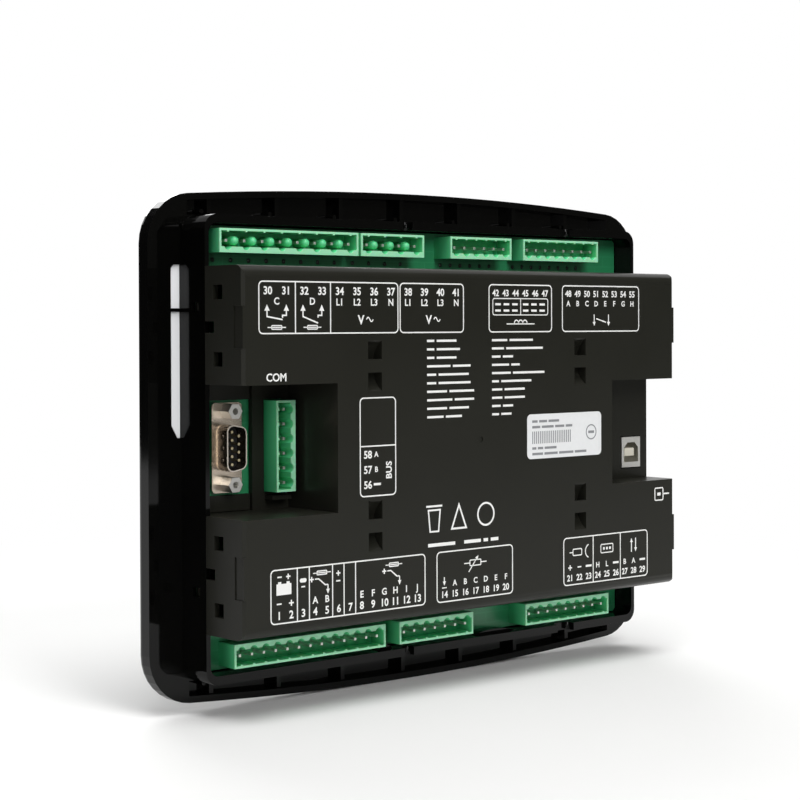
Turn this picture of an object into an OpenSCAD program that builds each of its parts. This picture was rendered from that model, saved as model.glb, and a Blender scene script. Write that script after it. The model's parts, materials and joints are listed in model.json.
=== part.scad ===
// Genset controller that fits a cut-out in a control panel, in millimetres.
// X runs across, Y from the front to the rear and Z up. The origin is the middle of the
// panel seat, so the front moulding lies at -Y and the terminals and rear cover at +Y.

/* [Fascia] */
// Width of the front moulding
fascia_w = 240; // [216:1:270]
// Height of the front moulding at the middle of its bowed edges
fascia_h = 181; // [180:1:210]
// Depth of the front moulding in front of the panel
fascia_d = 7.5; // [7.2:0.1:9]
// Radius of the bowed top and bottom edges
bow_r = 1442; // [900:1:4000]
// Radius of the outer corners
corner_r = 17.5; // [14:0.5:22]
// Radius of the rounded front edge
edge_r = 3; // [1:0.1:3.6]
// Depth of the recess that holds the printed film
face_recess = 1.2; // [0.8:0.1:1.6]
// Width of the plain border around the film
face_border = 6; // [4:0.5:9]
// Thickness of the front skin
skin_t = 1.8; // [1.4:0.1:2.2]
// Width of the rim along the top and bottom
rim_w = 2.3; // [1.6:0.1:3.5]
// Width of the rim along the sides
side_rim_w = 3.5; // [2.5:0.1:5]
// Depth of the gasket seat at the sides
seat_d = 1; // [0.6:0.1:1.2]
// Distance from the box corners to the ends of the gasket seat
seat_end = 3.2; // [2:0.1:12]
// Depth of the channels above and below the box
channel_d = 5.2; // [3:0.1:5.6]
// Distance from the box sides to the ends of the channels
channel_end = 2; // [1:0.1:8]
// Thickness of the channel ribs
rib_t = 1.8; // [1.2:0.1:4]
// Distance between channel ribs
rib_pitch = 29.2; // [20:0.1:30]
// Position of the middle channel rib
rib_x = 6.3; // [0:0.1:12]
// Height of the channel ribs above the channel floor
rib_h = 3.8; // [2:0.1:4.5]
// Diameter of the locating pips beside the ribs
pip_d = 1.6; // [1:0.1:2.4]
// Height of the locating pips above the channel floor
pip_h = 4.6; // [3:0.1:5]

/* [Box behind the panel] */
// Distance from the fascia side to the box side
box_side_margin = 14; // [13:0.5:20]
// Distance from the fascia top to the box top
box_top_margin = 11.3; // [11:0.1:16]
// Reach of the box behind the panel
box_d = 13.2; // [12.4:0.1:16]
// Outer corner radius of the box
box_r = 5; // [3.5:0.5:8]
// Thickness of the box sides
box_side_t = 1.7; // [1.4:0.1:2.4]
// Thickness of the box top and bottom
box_top_t = 3; // [2:0.1:3.4]
// Depth of the notches in the rear edge of the box
wall_notch_d = 3.4; // [2:0.1:5]
// Width of the narrow notch
narrow_notch_w = 4.4; // [3:0.1:8]
// Position of the narrow notch
narrow_notch_x = 15.8; // [10:0.1:30]
// Width of the wide notch
wide_notch_w = 9; // [6:0.1:14]
// Position of the wide notch
wide_notch_x = -66; // [-80:0.5:-40]

/* [Window and label strip] */
// Visible width of the display
view_w = 98; // [80:1:100]
// Visible height of the display
view_h = 50; // [40:1:52]
// Position of the display up
view_z = 36; // [34:1:37]
// Cover of the display module beyond its visible part
view_lap = 1.5; // [1:0.1:2]
// Width of the label window
strip_w = 12; // [8:0.5:13]
// Height of the label window
strip_h = 56; // [40:1:58]
// Distance from the inside of the box to the middle of the label window
strip_edge = 8.3; // [7.6:0.1:9]
// Position of the label window up
strip_z = 33; // [32:0.5:36]
// Wall of the block behind the label window
strip_wall = 1.6; // [1.2:0.1:2]
// Cover of the insert card beyond the label window
card_lap = 2; // [1:0.1:2.4]
// Thickness of the insert card
card_t = 0.3; // [0.2:0.05:0.4]
// Reach of the card past the box side
card_reach = 4.6; // [3:0.1:6]
// Play around the card and the windows
slip_gap = 0.2; // [0.1:0.05:0.3]
// Thickness of the printed film
film_t = 0.4; // [0.2:0.05:0.6]

/* [Keys and lamps] */
// Diameter of the mode keys
mode_key_d = 17; // [12:0.5:19]
// Distance from the inside of the box to the outer mode keys
mode_key_edge = 34.3; // [34:0.1:46]
// Position of the mode keys up
mode_key_z = -50; // [-54:1:-46]
// Diameter of the breaker keys
breaker_key_d = 12; // [9:0.5:14]
// Position of the breaker keys from the middle
breaker_key_x = 28; // [20:1:40]
// Position of the breaker keys up
breaker_key_z = -16; // [-18:1:-12]
// Diameter of the arrow keys
arrow_key_d = 11; // [8:0.5:12]
// Diameter of the centre key
centre_key_d = 12; // [8:0.5:13]
// Distance from the centre key to an arrow key
arrow_pitch = 15; // [14.5:0.5:17]
// Distance from the lamps to the centre key
pad_edge = 27; // [26:0.5:28]
// Play around a key in its hole
key_gap = 0.3; // [0.2:0.05:0.5]
// Extra radius of the flange behind the skin
key_flange = 1; // [0.6:0.1:1.2]
// Thickness of the key flange
key_flange_t = 0.7; // [0.5:0.1:0.8]
// Travel of a key
key_travel = 0.8; // [0.5:0.1:0.9]
// Gap between a pressed key and the contact dome
key_stop_gap = 0.1; // [0.05:0.05:0.2]
// Diameter of the lamp lenses
lamp_d = 4; // [3:0.5:5]
// Distance between the alarm lamps
lamp_pitch = 13; // [9:0.5:13.5]
// Distance from the label window to the alarm lamps
lamp_edge = 16.5; // [16:0.5:17]

/* [Boards] */
// Thickness of the keypad mat
mat_t = 1; // [0.6:0.1:1.2]
// Margin of the keypad mat around the keys
mat_margin = 2; // [1:0.1:3]
// Height of the contact domes on the mat
dome_h = 0.2; // [0.1:0.05:0.3]
// Thickness of both circuit boards
board_t = 1.6; // [1.2:0.1:1.8]
// Height of the spacers between the boards
spacer_h = 2.8; // [2:0.1:3.2]
// Gap between the main board and the box
board_gap = 0.4; // [0.2:0.1:0.6]
// Diameter of the board screws
screw_d = 2.9; // [2.2:0.1:3]
// Play around the screws
screw_gap = 0.15; // [0.05:0.05:0.25]
// Diameter of the screw bosses and spacers
boss_d = 7; // [6:0.5:8]
// Distance from the label block to the screws beside it
screw_block_gap = 4.4; // [4:0.1:5]
// Distance from the inside of the box to the screws on the other side
screw_edge = 4.5; // [4.2:0.1:5]
// Distance from the top and bottom of the cover to the screws and parts inside
inner_margin = 7.6; // [6.5:0.1:9]
// Length of the connector that links the boards
link_l = 32; // [20:1:50]
// Width of the connector that links the boards
link_w = 6; // [4:0.5:8]
// Position of the connector that links the boards up
link_z = -29; // [-34:1:-20]
// Width of a relay
relay_w = 12.5; // [10:0.5:14]
// Length of a relay
relay_l = 12; // [10:0.5:16]
// Height of a relay
relay_h = 15.4; // [10:0.1:18]
// Distance between the relays
relay_pitch = 16; // [15:0.5:20]
// Diameter of the capacitors
capacitor_d = 12.5; // [8:0.5:14]
// Height of the capacitors
capacitor_h = 20; // [12:0.5:22]
// Width of a current transformer
transformer_w = 16; // [12:0.5:18]
// Length of a current transformer
transformer_l = 14; // [10:0.5:16]
// Height of a current transformer
transformer_h = 17; // [12:0.5:18]
// Distance between the current transformers
transformer_pitch = 19; // [18.5:0.5:22]
// Side of the processor
processor_w = 20; // [14:0.5:24]
// Height of the processor
processor_h = 1.4; // [1:0.1:2]

/* [Terminal headers] */
// Width of a header across its row
header_w = 8.2; // [7.8:0.1:8.6]
// Height of a header above the board
header_h = 9.3; // [8:0.1:11]
// Thickness of the header floor
header_floor = 2.1; // [1.4:0.1:3]
// Thickness of the plain header wall
header_wall = 0.8; // [0.6:0.1:1]
// Thickness of the fluted header wall
flute_wall = 2; // [1.7:0.1:2.2]
// Radius of the flutes
flute_r = 1.7; // [1.2:0.1:1.9]
// Depth of the flutes in their wall
flute_d = 1.1; // [0.6:0.1:1.2]
// Width of the pins
pin_w = 1; // [0.6:0.1:1.04]
// Gap from the pin tips to the header mouth
pin_below = 1.2; // [0.6:0.1:3]
// Large pin distance
wide_pitch = 7.62; // [7.5:0.01:7.62]
// Small pin distance
fine_pitch = 5.08; // [5:0.01:5.08]
// Length that a header with the large pin distance lacks
wide_trim = 0.4; // [0.2:0.1:1]
// Extra length of a header with the small pin distance
fine_trim = 1.1; // [0.6:0.1:1.4]
// Gap between the header rows and the box
row_gap = 1.7; // [1:0.1:2.4]

/* [Serial and service ports] */
// Distance from the box side to the middle of the serial port
dsub_edge = 14; // [13.5:0.1:14.5]
// Distance from the box side to the middle of the serial header
serial_header_edge = 33.5; // [33:0.1:34]
// Length of the serial port flange
dsub_flange_l = 30.8; // [30:0.1:32]
// Width of the serial port flange
dsub_flange_w = 12.5; // [11:0.1:13]
// Height of the serial port flange above the board
dsub_rise = 1; // [0.8:0.1:1.4]
// Length of the serial port body under the flange
dsub_body_l = 19.4; // [18:0.1:20]
// Length of the serial port shell along its wide side
dsub_long = 16.92; // [16.8:0.01:17.1]
// Width of the serial port shell
dsub_short = 8.36; // [8.2:0.01:8.5]
// Corner radius of the serial port shell
dsub_r = 2.6; // [2.2:0.1:3]
// Diameter of the dimples on the serial port shell
dimple_d = 2; // [1.6:0.1:2.4]
// Distance between the dimples
dimple_pitch = 4.1; // [3:0.1:5]
// Height of the dimples
dimple_h = 0.3; // [0.2:0.05:0.5]
// Distance between the jack screws
jack_pitch = 24.99; // [24.5:0.01:25.5]
// Diameter of the jack screw shank
jack_thread_d = 2.84; // [2.6:0.01:3]
// Diameter of the tapped hole in a jack screw
jack_bore_d = 2.26; // [2:0.01:2.5]
// Width of the jack screw hexagon
jack_hex = 5; // [4.5:0.1:5.5]
// Length of the jack screws
jack_l = 5.1; // [4:0.1:6]
// Length of the serial port shell
dsub_shell_l = 5.9; // [5:0.1:6.5]
// Distance between serial port pins
dsub_pitch = 2.77; // [2.5:0.01:2.8]
// Distance between the two rows of serial port pins
dsub_row = 2.84; // [2.6:0.01:3]
// Width of the service port across
usb_w = 10.8; // [10:0.1:12]
// Height of the service port
usb_h = 12.2; // [11:0.1:13]
// Width of the service port opening
usb_open_w = 8.4; // [8:0.1:9]
// Height of the service port opening
usb_open_h = 7.8; // [7:0.1:8.4]
// Width of the service port tongue
usb_tongue_w = 5.6; // [5:0.1:6]
// Height of the service port tongue
usb_tongue_h = 3.2; // [3:0.1:3.4]
// Depth of the service port opening
usb_depth = 9; // [8:0.1:10]
// Distance from the box side to the middle of the service port
usb_edge = 9.5; // [9:0.1:11]
// Position of the service port up
usb_z = -9.6; // [-11:0.1:9]
// Rise of the service port above its recess floor
usb_proud = 0.3; // [0.1:0.1:1]
// Sheet thickness of the port shells
sheet_t = 0.5; // [0.3:0.05:0.6]

/* [Rear cover] */
// Reach of the rear cover behind the panel
cover_d = 34.5; // [33:0.1:44]
// Wall thickness of the rear cover
cover_t = 2; // [1.6:0.1:2.4]
// Gap between the cover and the header rows
cover_row_gap = 4.7; // [3:0.1:8]
// Radius of the long rear edges
cover_r = 4; // [3:0.1:6]
// Gap between the cover and the parts that it stands in
cover_gap = 0.4; // [0.2:0.1:0.5]
// Length of the serial recess
serial_recess_l = 39.6; // [39:0.1:44]
// Half height of the serial recess
serial_recess_half = 22; // [21:0.1:23]
// Length of the serial port well
serial_well_l = 24; // [23:0.1:24.6]
// Length of the service recess
usb_recess_l = 36; // [30:0.5:40]
// Half height of the service recess
usb_recess_half = 20; // [18:0.5:22]
// Depth of the service recess
usb_recess_d = 14.5; // [10:0.1:16]
// Size of the square clip slots along the depth
clip_slot_d = 5.1; // [4.6:0.1:6]
// Height of the square clip slots
clip_slot_h = 4.8; // [4.4:0.1:5.4]
// Depth position of the square clip slots behind the panel
clip_slot_y = 18; // [17:0.1:20]
// Height of the middle clip notch
clip_notch_h = 3.8; // [3:0.1:5]
// Bevel of the upright rear edges
edge_bevel = 1; // [0.6:0.1:1.4]
// Height of the flat that a panel clip lies on
clip_flat_h = 14; // [10:0.5:16]
// Length of the flat along the depth
clip_flat_d = 4.6; // [3:0.1:6]
// Depth of the flat in the cover side
clip_flat_t = 0.4; // [0.2:0.1:0.8]
// Positions of the clip slots and notch above and below the middle
clip_z = [30.5, 41.2, 52.8];
// Width of the cable tie tunnels
tie_w = 6.2; // [5:0.1:7]
// Length of the cable tie tunnels
tie_l = 17.5; // [15:0.5:19]
// Depth of the cable tie tunnels
tie_d = 5; // [4.5:0.1:5.6]
// Width of the bar across a tie tunnel
tie_bar_w = 4.6; // [3:0.1:5]
// Thickness of the bar across a tie tunnel
tie_bar_t = 1.5; // [1.2:0.1:1.8]
// Distance from the serial recess to the tie tunnels beside it
tie_serial_gap = 16.6; // [12:0.1:20]
// Distance from the service recess to the tie tunnels beside it
tie_usb_gap = 17.8; // [12:0.1:20]
// Position of the tie tunnels above and below the middle
tie_z = 27.6; // [26.5:0.1:30]
// Height of the snap hooks
hook_h = 2.4; // [2:0.1:4]
// Position of the snap hooks above and below the middle
hook_z = 48; // [46.5:0.5:49]
// Diameter of the moulding dimple in the rear face
gate_d = 2.5; // [1.5:0.1:4]
// Depth of the moulding dimple
gate_h = 0.4; // [0.2:0.1:0.8]
// Width of the stuck label
label_w = 39.9; // [30:0.1:50]
// Height of the stuck label
label_h = 16.6; // [10:0.1:20]
// Distance from the service recess to the stuck label
label_gap = 6.35; // [4:0.05:12]
// Thickness of the stuck label
label_t = 0.15; // [0.1:0.05:0.3]

/* [Hidden] */
$fn = 48;
eps = 0.01;
// Depth stack from the front face to the rear of the main board
y_front = -fascia_d;
y_face = y_front + face_recess;
y_film = y_face - film_t;
y_skin = y_face + skin_t;
y_flange = y_skin + key_stop_gap;
y_key_rear = y_flange + key_flange_t;
y_dome = y_key_rear + key_travel + key_stop_gap;
y_mat = y_dome + dome_h;
y_display = y_mat + mat_t;
y_display_rear = y_display + board_t;
y_main = y_display_rear + spacer_h;
y_board = y_main + board_t;
y_lcd = y_skin + slip_gap;
y_seat = -seat_d;
card_y1 = y_seat - strip_wall / 2 - slip_gap / 2;
card_y0 = card_y1 - card_t;
y_channel = -channel_d;
// Box, cover and row sizes that follow from the fascia
box_w = fascia_w - 2 * box_side_margin;
box_h = fascia_h - 2 * box_top_margin;
box_in_w = box_w - 2 * box_side_t;
box_in_h = box_h - 2 * box_top_t;
seat_half = box_h / 2 - seat_end;
channel_half = box_w / 2 - channel_end;
row_z = box_in_h / 2 - row_gap - header_w / 2;
cover_h = 2 * (row_z - header_w / 2 - cover_row_gap);
cover_in_x = box_in_w / 2 - cover_gap;
cover_foot_y = y_board + cover_gap;
usb_floor_y = cover_d - usb_recess_d;
usb_mouth_y = usb_floor_y + usb_proud;
dsub_flange_y = y_board + dsub_rise;
dsub_face_y = dsub_flange_y + sheet_t;
inner_z = cover_h / 2 - inner_margin;
// Places across, counted from the box sides
strip_x = box_in_w / 2 - strip_edge;
strip_block_x = strip_x - strip_w / 2 - strip_wall;
card_half = strip_h / 2 + card_lap;
mode_key_pitch = (box_in_w - 2 * mode_key_edge) / 5;
lamp_x = strip_x - lamp_edge;
pad_x = lamp_x - pad_edge;
pad_z = view_z;
screw_serial_x = strip_block_x - screw_block_gap;
screw_usb_x = -box_in_w / 2 + screw_edge;
view_x = (screw_usb_x + boss_d / 2 + pad_x - arrow_pitch - arrow_key_d / 2 - key_flange) / 2;
dsub_x = box_w / 2 - dsub_edge;
serial_well_x = box_w / 2 - serial_well_l;
serial_recess_x = box_w / 2 - serial_recess_l;
usb_x = -box_w / 2 + usb_edge;
usb_recess_x = -box_w / 2 + usb_recess_l;
tie_x = [serial_recess_x - tie_serial_gap, usb_recess_x + tie_usb_gap];
label_x = usb_recess_x + label_gap + label_w / 2;
// Header rows from the serial side: name, ways, pin distance, share of the row's free length before it
TOP_ROW = [
    ["header_volts", 8, wide_pitch, 0.09],
    ["header_mains", 4, wide_pitch, 0.118],
    ["header_currents", 6, fine_pitch, 0.413],
    ["header_inputs", 8, fine_pitch, 0.556]
];
BOTTOM_ROW = [
    ["header_outputs", 13, fine_pitch, 0.164],
    ["header_senders", 7, fine_pitch, 0.279],
    ["header_bus", 9, fine_pitch, 0.756]
];
SERIAL_HEADER = ["header_serial", 6, fine_pitch, box_w / 2 - serial_header_edge, 0, 90];
// Headers: name, ways, pin distance, middle across, middle up, turn about Y
HEADERS = concat(
    [for (i = [0:3]) placed(TOP_ROW, i, row_z, 0)],
    [for (i = [0:2]) placed(BOTTOM_ROW, i, -row_z, 180)],
    [SERIAL_HEADER]
);
// Keys: name, across, up, diameter, colour
KEYS = [
    ["key_up", pad_x, pad_z + arrow_pitch, arrow_key_d, "#C9CCCB"],
    ["key_down", pad_x, pad_z - arrow_pitch, arrow_key_d, "#C9CCCB"],
    ["key_left", pad_x - arrow_pitch, pad_z, arrow_key_d, "#C9CCCB"],
    ["key_right", pad_x + arrow_pitch, pad_z, arrow_key_d, "#C9CCCB"],
    ["key_accept", pad_x, pad_z, centre_key_d, "#C9CCCB"],
    ["key_mains", -breaker_key_x, breaker_key_z, breaker_key_d, "#C9CCCB"],
    ["key_generator", breaker_key_x, breaker_key_z, breaker_key_d, "#C9CCCB"],
    ["key_stop", -2.5 * mode_key_pitch, mode_key_z, mode_key_d, "#B3221C"],
    ["key_manual", -1.5 * mode_key_pitch, mode_key_z, mode_key_d, "#C9CCCB"],
    ["key_test", -0.5 * mode_key_pitch, mode_key_z, mode_key_d, "#C9CCCB"],
    ["key_auto", 0.5 * mode_key_pitch, mode_key_z, mode_key_d, "#C9CCCB"],
    ["key_mute", 1.5 * mode_key_pitch, mode_key_z, mode_key_d, "#C9CCCB"],
    ["key_start", 2.5 * mode_key_pitch, mode_key_z, mode_key_d, "#1E8A43"]
];
// Lamps: four alarms, three on the supply diagram, four over the mode keys
LAMPS = concat(
    [for (i = [0:3]) [lamp_x, pad_z - 2 + (i - 2) * lamp_pitch]],
    [for (i = [-1:1]) [i * 2 * breaker_key_x, breaker_key_z]],
    [for (i = [0:3]) [(i - 2.5) * mode_key_pitch, mode_key_z + mode_key_d / 2 + 6]]
);
// Board tabs in the bottom of the box: middle across, width
BOARD_TABS = [[24.3, 6], [-30.2, 22]];
SCREWS = [for (x = [screw_serial_x, screw_usb_x], z = [-inner_z, inner_z]) [x, z]];

function header_l(h) = h[1] * h[2] + (h[2] > (wide_pitch + fine_pitch) / 2 ? -wide_trim : fine_trim);

function pin_x(h, i) = (i - (h[1] - 1) / 2) * h[2];

// Length of the headers in a row up to number n
function row_l(row, n) = n < 0 ? 0 : header_l(row[n]) + row_l(row, n - 1);

function placed(row, i, z, turn) =
    let (
        free = box_in_w - row_l(row, len(row) - 1),
        x = box_in_w / 2 - free * row[i][3] - row_l(row, i - 1) - header_l(row[i]) / 2
    )
    [row[i][0], row[i][1], row[i][2], x, z, turn];

function arc(c, r, from, to, n, first, last) =
    [for (i = [first:last]) c + r * [cos(from + (to - from) * i / n), sin(from + (to - from) * i / n)]];

// Outline with straight sides, bowed top and bottom and round corners, drawn in by inset
function bowed_outline(inset) =
    let (
        w = fascia_w / 2 - inset,
        r = corner_r - inset,
        big = bow_r - inset,
        bow_z = fascia_h / 2 - bow_r,
        cx = w - r,
        cz = bow_z + sqrt((big - r) * (big - r) - cx * cx),
        phi = atan2(cz - bow_z, cx)
    )
    concat(
        arc([cx, cz], r, 0, phi, 8, 0, 8),
        arc([0, bow_z], big, phi, 180 - phi, 16, 1, 15),
        arc([-cx, cz], r, 180 - phi, 180, 8, 0, 8),
        arc([-cx, -cz], r, 180, 180 + phi, 8, 0, 8),
        arc([0, -bow_z], big, 180 + phi, 360 - phi, 16, 1, 15),
        arc([cx, -cz], r, 360 - phi, 360, 8, 0, 8)
    );

function unit(v) = v / norm(v);

// Round corner of a convex outline that runs anticlockwise
function round_corner(before, p, after, r) =
    let (
        a = unit(before - p),
        b = unit(after - p),
        half = acos(a * b) / 2,
        c = p + unit(a + b) * r / sin(half),
        s = p + a * r / tan(half) - c,
        from = atan2(s.y, s.x)
    )
    arc(c, r, from, from + 180 - 2 * half, 6, 0, 6);

// Outline of the serial port shell, widest where the five pins stand
function d_outline(inset) =
    let (
        d = dsub_short / 2 - inset,
        wide = dsub_long / 2 - inset,
        narrow = wide - 2 * d * tan(10),
        p = [[d, -wide], [d, wide], [-d, narrow], [-d, -narrow]]
    )
    [for (i = [0:3]) each round_corner(p[(i + 3) % 4], p[i], p[(i + 1) % 4], dsub_r - inset)];

module slab(front, rear) {
    translate([0, rear, 0])
        rotate([90, 0, 0])
            linear_extrude(height = rear - front)
                children();
}

module run_x(from, to) {
    translate([from, 0, 0])
        rotate([90, 0, 90])
            linear_extrude(height = to - from)
                children();
}

module block(low, high) {
    translate(low)
        cube(high - low);
}

module disc(x, z, d, front, rear) {
    translate([x, rear, z])
        rotate([90, 0, 0])
            cylinder(d = d, h = rear - front);
}

module round_rect(w, h, r) {
    square([w - 2 * r, h], center = true);
    square([w, h - 2 * r], center = true);
    for (x = [-1, 1], z = [-1, 1])
        translate([x * (w / 2 - r), z * (h / 2 - r)])
            circle(r = r);
}

// Fascia: outer moulding with a rounded front edge
module fascia_blank() {
    slab(y_front + edge_r, 0)
        polygon(bowed_outline(0));
    hull()
        for (a = [0:22.5:90])
            slab(y_front + edge_r * (1 - sin(a)), y_front + edge_r * (1 - sin(a)) + eps)
                polygon(bowed_outline(edge_r * (1 - cos(a))));
}

// Inside of the box, less the screw bosses and the block that guides the insert card
module box_inside() {
    difference() {
        slab(y_skin, box_d + 1)
            round_rect(box_in_w, box_in_h, box_r - box_side_t);
        for (s = SCREWS)
            disc(s.x, s.y, boss_d, y_skin - 1, y_display);
        block(
            [strip_block_x, y_skin - 1, strip_z - card_half - strip_wall],
            [box_w / 2, y_seat, strip_z + card_half + strip_wall]
        );
    }
}

// Channels along the top and bottom of the rim, crossed by ribs
module rim_channels() {
    difference() {
        slab(y_channel, 1)
            difference() {
                intersection() {
                    polygon(bowed_outline(rim_w));
                    square([2 * channel_half, 2 * fascia_h], center = true);
                }
                square([2 * fascia_w, box_h], center = true);
            }
        for (i = [-3:3])
            block(
                [rib_x + i * rib_pitch - rib_t / 2, y_channel - 1, -fascia_h],
                [rib_x + i * rib_pitch + rib_t / 2, y_channel + rib_h, fascia_h]
            );
        for (i = [-3:3], z = [-1, 1])
            disc(
                rib_x + i * rib_pitch + 2 * rib_t,
                z * (box_h / 2 + pip_d),
                pip_d,
                y_channel - 1,
                y_channel + pip_h
            );
    }
}

// Tabs that keep the main board down, with round tops
module board_tabs() {
    h = row_gap - slip_gap;
    for (t = BOARD_TABS) {
        r = (t[1] * t[1] / 4 + h * h) / (2 * h);
        slab(y_board + slip_gap, box_d - wall_notch_d)
            translate([t[0], -box_in_h / 2])
                intersection() {
                    translate([0, h - r])
                        circle(r = r, $fn = 96);
                    square([t[1], 2 * h], center = true);
                }
    }
}

// Shallow seats for the gasket at both sides of the box
module gasket_seats() {
    slab(y_seat, 1)
        difference() {
            round_rect(fascia_w - 2 * side_rim_w, 2 * seat_half, 5);
            square([box_w, 2 * fascia_h], center = true);
        }
}

// Slot that the insert card slides in, with two windows that show its end
module card_slot() {
    z0 = strip_z - card_half;
    z1 = strip_z + card_half;
    x0 = box_w / 2;
    x1 = x0 + card_reach;
    lip = 0.6;
    strap = strip_z + strip_h / 4;
    block(
        [strip_block_x + lip, card_y0 - slip_gap / 2, z0 - slip_gap],
        [x1 + slip_gap, card_y1 + slip_gap / 2, z1 + slip_gap]
    );
    slab(card_y1, 1)
        polygon([
            [x0, z0 + lip],
            [x1 - 5 * lip, z0 + lip],
            [x1 - lip, z0 + 8 * lip],
            [x1 - lip, strap - lip],
            [x0, strap - lip]
        ]);
    slab(card_y1, 1)
        polygon([
            [x0, strap + lip],
            [x1 - lip, strap + lip],
            [x1 - lip, z1 - 3 * lip],
            [x1 - 3 * lip, z1 - lip],
            [x0, z1 - lip]
        ]);
}

module wall_notch(x, w) {
    translate([x, box_d, -fascia_h])
        linear_extrude(height = 2 * fascia_h)
            round_rect(w, 2 * wall_notch_d, 1.4);
}

// Windows in the box sides that the cover hooks snap into
module hook_windows() {
    for (z = [-hook_z, hook_z])
        block(
            [-box_w, cover_foot_y + cover_gap, z - hook_h / 2 - cover_gap],
            [box_w, cover_foot_y + cover_gap + 3.6 + 2 * cover_gap, z + hook_h / 2 + cover_gap]
        );
}

module front_fascia() {
    color("#131414") {
        difference() {
            union() {
                fascia_blank();
                slab(y_front + edge_r, box_d)
                    round_rect(box_w, box_h, box_r);
            }
            slab(y_front - 1, y_face)
                polygon(bowed_outline(face_border));
            box_inside();
            rim_channels();
            gasket_seats();
            card_slot();
            for (k = KEYS)
                disc(k[1], k[2], k[3] + 2 * key_gap, y_front - 1, y_skin + 1);
            for (l = LAMPS)
                disc(l.x, l.y, lamp_d + slip_gap, y_front - 1, y_skin + 1);
            slab(y_front - 1, y_skin + 1)
                translate([view_x, view_z])
                    square([view_w, view_h], center = true);
            slab(y_front - 1, card_y0)
                translate([strip_x, strip_z])
                    square([strip_w, strip_h], center = true);
            for (s = SCREWS)
                disc(s.x, s.y, screw_d + screw_gap, y_skin + 0.3, y_display + 1);
            wall_notch(narrow_notch_x, narrow_notch_w);
            wall_notch(wide_notch_x, wide_notch_w);
            hook_windows();
        }
        board_tabs();
    }
}

module front_film() {
    color("#2B2E30")
        slab(y_film, y_face)
            difference() {
                polygon(bowed_outline(face_border + slip_gap));
                translate([view_x, view_z])
                    square([view_w, view_h], center = true);
                translate([strip_x, strip_z])
                    square([strip_w, strip_h], center = true);
                for (k = KEYS)
                    translate([k[1], k[2]])
                        circle(d = k[3] + 2 * key_gap);
                for (l = LAMPS)
                    translate(l)
                        circle(d = lamp_d + slip_gap);
            }
}

module display_window() {
    color("#3A4144")
        slab(y_film, y_lcd - slip_gap)
            translate([view_x, view_z])
                square([view_w - 2 * slip_gap, view_h - 2 * slip_gap], center = true);
}

module lcd_module() {
    color("#8C9A86")
        slab(y_lcd, y_display)
            translate([view_x, view_z])
                square([view_w + 2 * view_lap, view_h + 2 * view_lap], center = true);
}

module label_window() {
    color("#C5CDD0")
        slab(y_film, card_y0 - slip_gap / 2)
            translate([strip_x, strip_z])
                square([strip_w - 2 * slip_gap, strip_h - 2 * slip_gap], center = true);
}

module insert_card() {
    color("#F2F2EE")
        block(
            [strip_block_x + strip_wall / 2, card_y0, strip_z - card_half],
            [box_w / 2 + card_reach, card_y1, strip_z + card_half]
        );
}

// Silicone mat with a low contact dome behind each key and a hole behind each lamp
module keypad_mat() {
    half_w = 2.5 * mode_key_pitch + mode_key_d / 2 + key_flange;
    low_z = mode_key_z - mode_key_d / 2 - mat_margin;
    top_z = breaker_key_z + breaker_key_d / 2 + mat_margin;
    pad_half = arrow_pitch + arrow_key_d / 2 + mat_margin;
    color("#4A4F52") {
        slab(y_mat, y_display)
            difference() {
                union() {
                    translate([-half_w, low_z])
                        square([2 * half_w, top_z - low_z]);
                    translate([pad_x - pad_half, top_z - eps])
                        square([lamp_x - lamp_d - pad_x + pad_half, pad_z + pad_half - top_z + eps]);
                }
                for (l = LAMPS)
                    translate(l)
                        circle(d = lamp_d);
                translate([view_x, view_z])
                    square([view_w + 2 * view_lap + 1, view_h + 2 * view_lap + 1], center = true);
            }
        for (k = KEYS)
            disc(k[1], k[2], k[3] - 4, y_dome, y_mat + eps);
    }
}

// Key: a dished cap through the skin and a flange that keeps it behind the skin
module push_key(k) {
    r = k[3] / 2;
    h = y_key_rear - y_front;
    color(k[4])
        translate([k[1], y_key_rear, k[2]])
            rotate([90, 0, 0])
                rotate_extrude()
                    polygon([
                        [0, 0],
                        [r + key_flange, 0],
                        [r + key_flange, key_flange_t],
                        [r, key_flange_t],
                        [r, h - 0.5],
                        [r - 0.5, h],
                        [r - 1.4, h],
                        [0, h - 0.3]
                    ]);
}

module lamp_lenses() {
    color("#C83A2E")
        for (l = LAMPS) {
            disc(l.x, l.y, lamp_d, y_film, y_skin + eps);
            disc(l.x, l.y, lamp_d + 1.6, y_skin, y_skin + 0.7);
        }
}

module display_board() {
    x0 = -box_in_w / 2 + 2 * board_gap;
    half_h = inner_z + boss_d;
    color("#2C7F57")
        slab(y_display, y_display_rear)
            difference() {
                translate([x0, -half_h])
                    square([strip_block_x - board_gap - x0, 2 * half_h]);
                for (s = SCREWS)
                    translate(s)
                        circle(d = screw_d + 2 * screw_gap);
            }
}

module board_spacers() {
    color("#B9BCBE")
        for (s = SCREWS)
            slab(y_display_rear, y_main)
                translate(s)
                    difference() {
                        circle(d = boss_d);
                        circle(d = screw_d + 2 * screw_gap);
                    }
}

module board_screws() {
    color("#A9ACAE")
        for (s = SCREWS) {
            disc(s.x, s.y, screw_d, y_skin + 0.6, y_board + eps);
            disc(s.x, s.y, 2 * screw_d, y_board, y_board + 0.7 * screw_d);
        }
}

module board_link() {
    color("#1B1B1C")
        translate([-link_l / 2, y_display_rear, link_z - link_w / 2])
            cube([link_l, spacer_h, link_w]);
}

module main_board() {
    color("#2E9060")
        slab(y_main, y_board)
            difference() {
                square([box_in_w - 2 * board_gap, box_in_h - 2 * board_gap], center = true);
                for (s = SCREWS)
                    translate(s)
                        circle(d = screw_d + 2 * screw_gap);
            }
}

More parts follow.
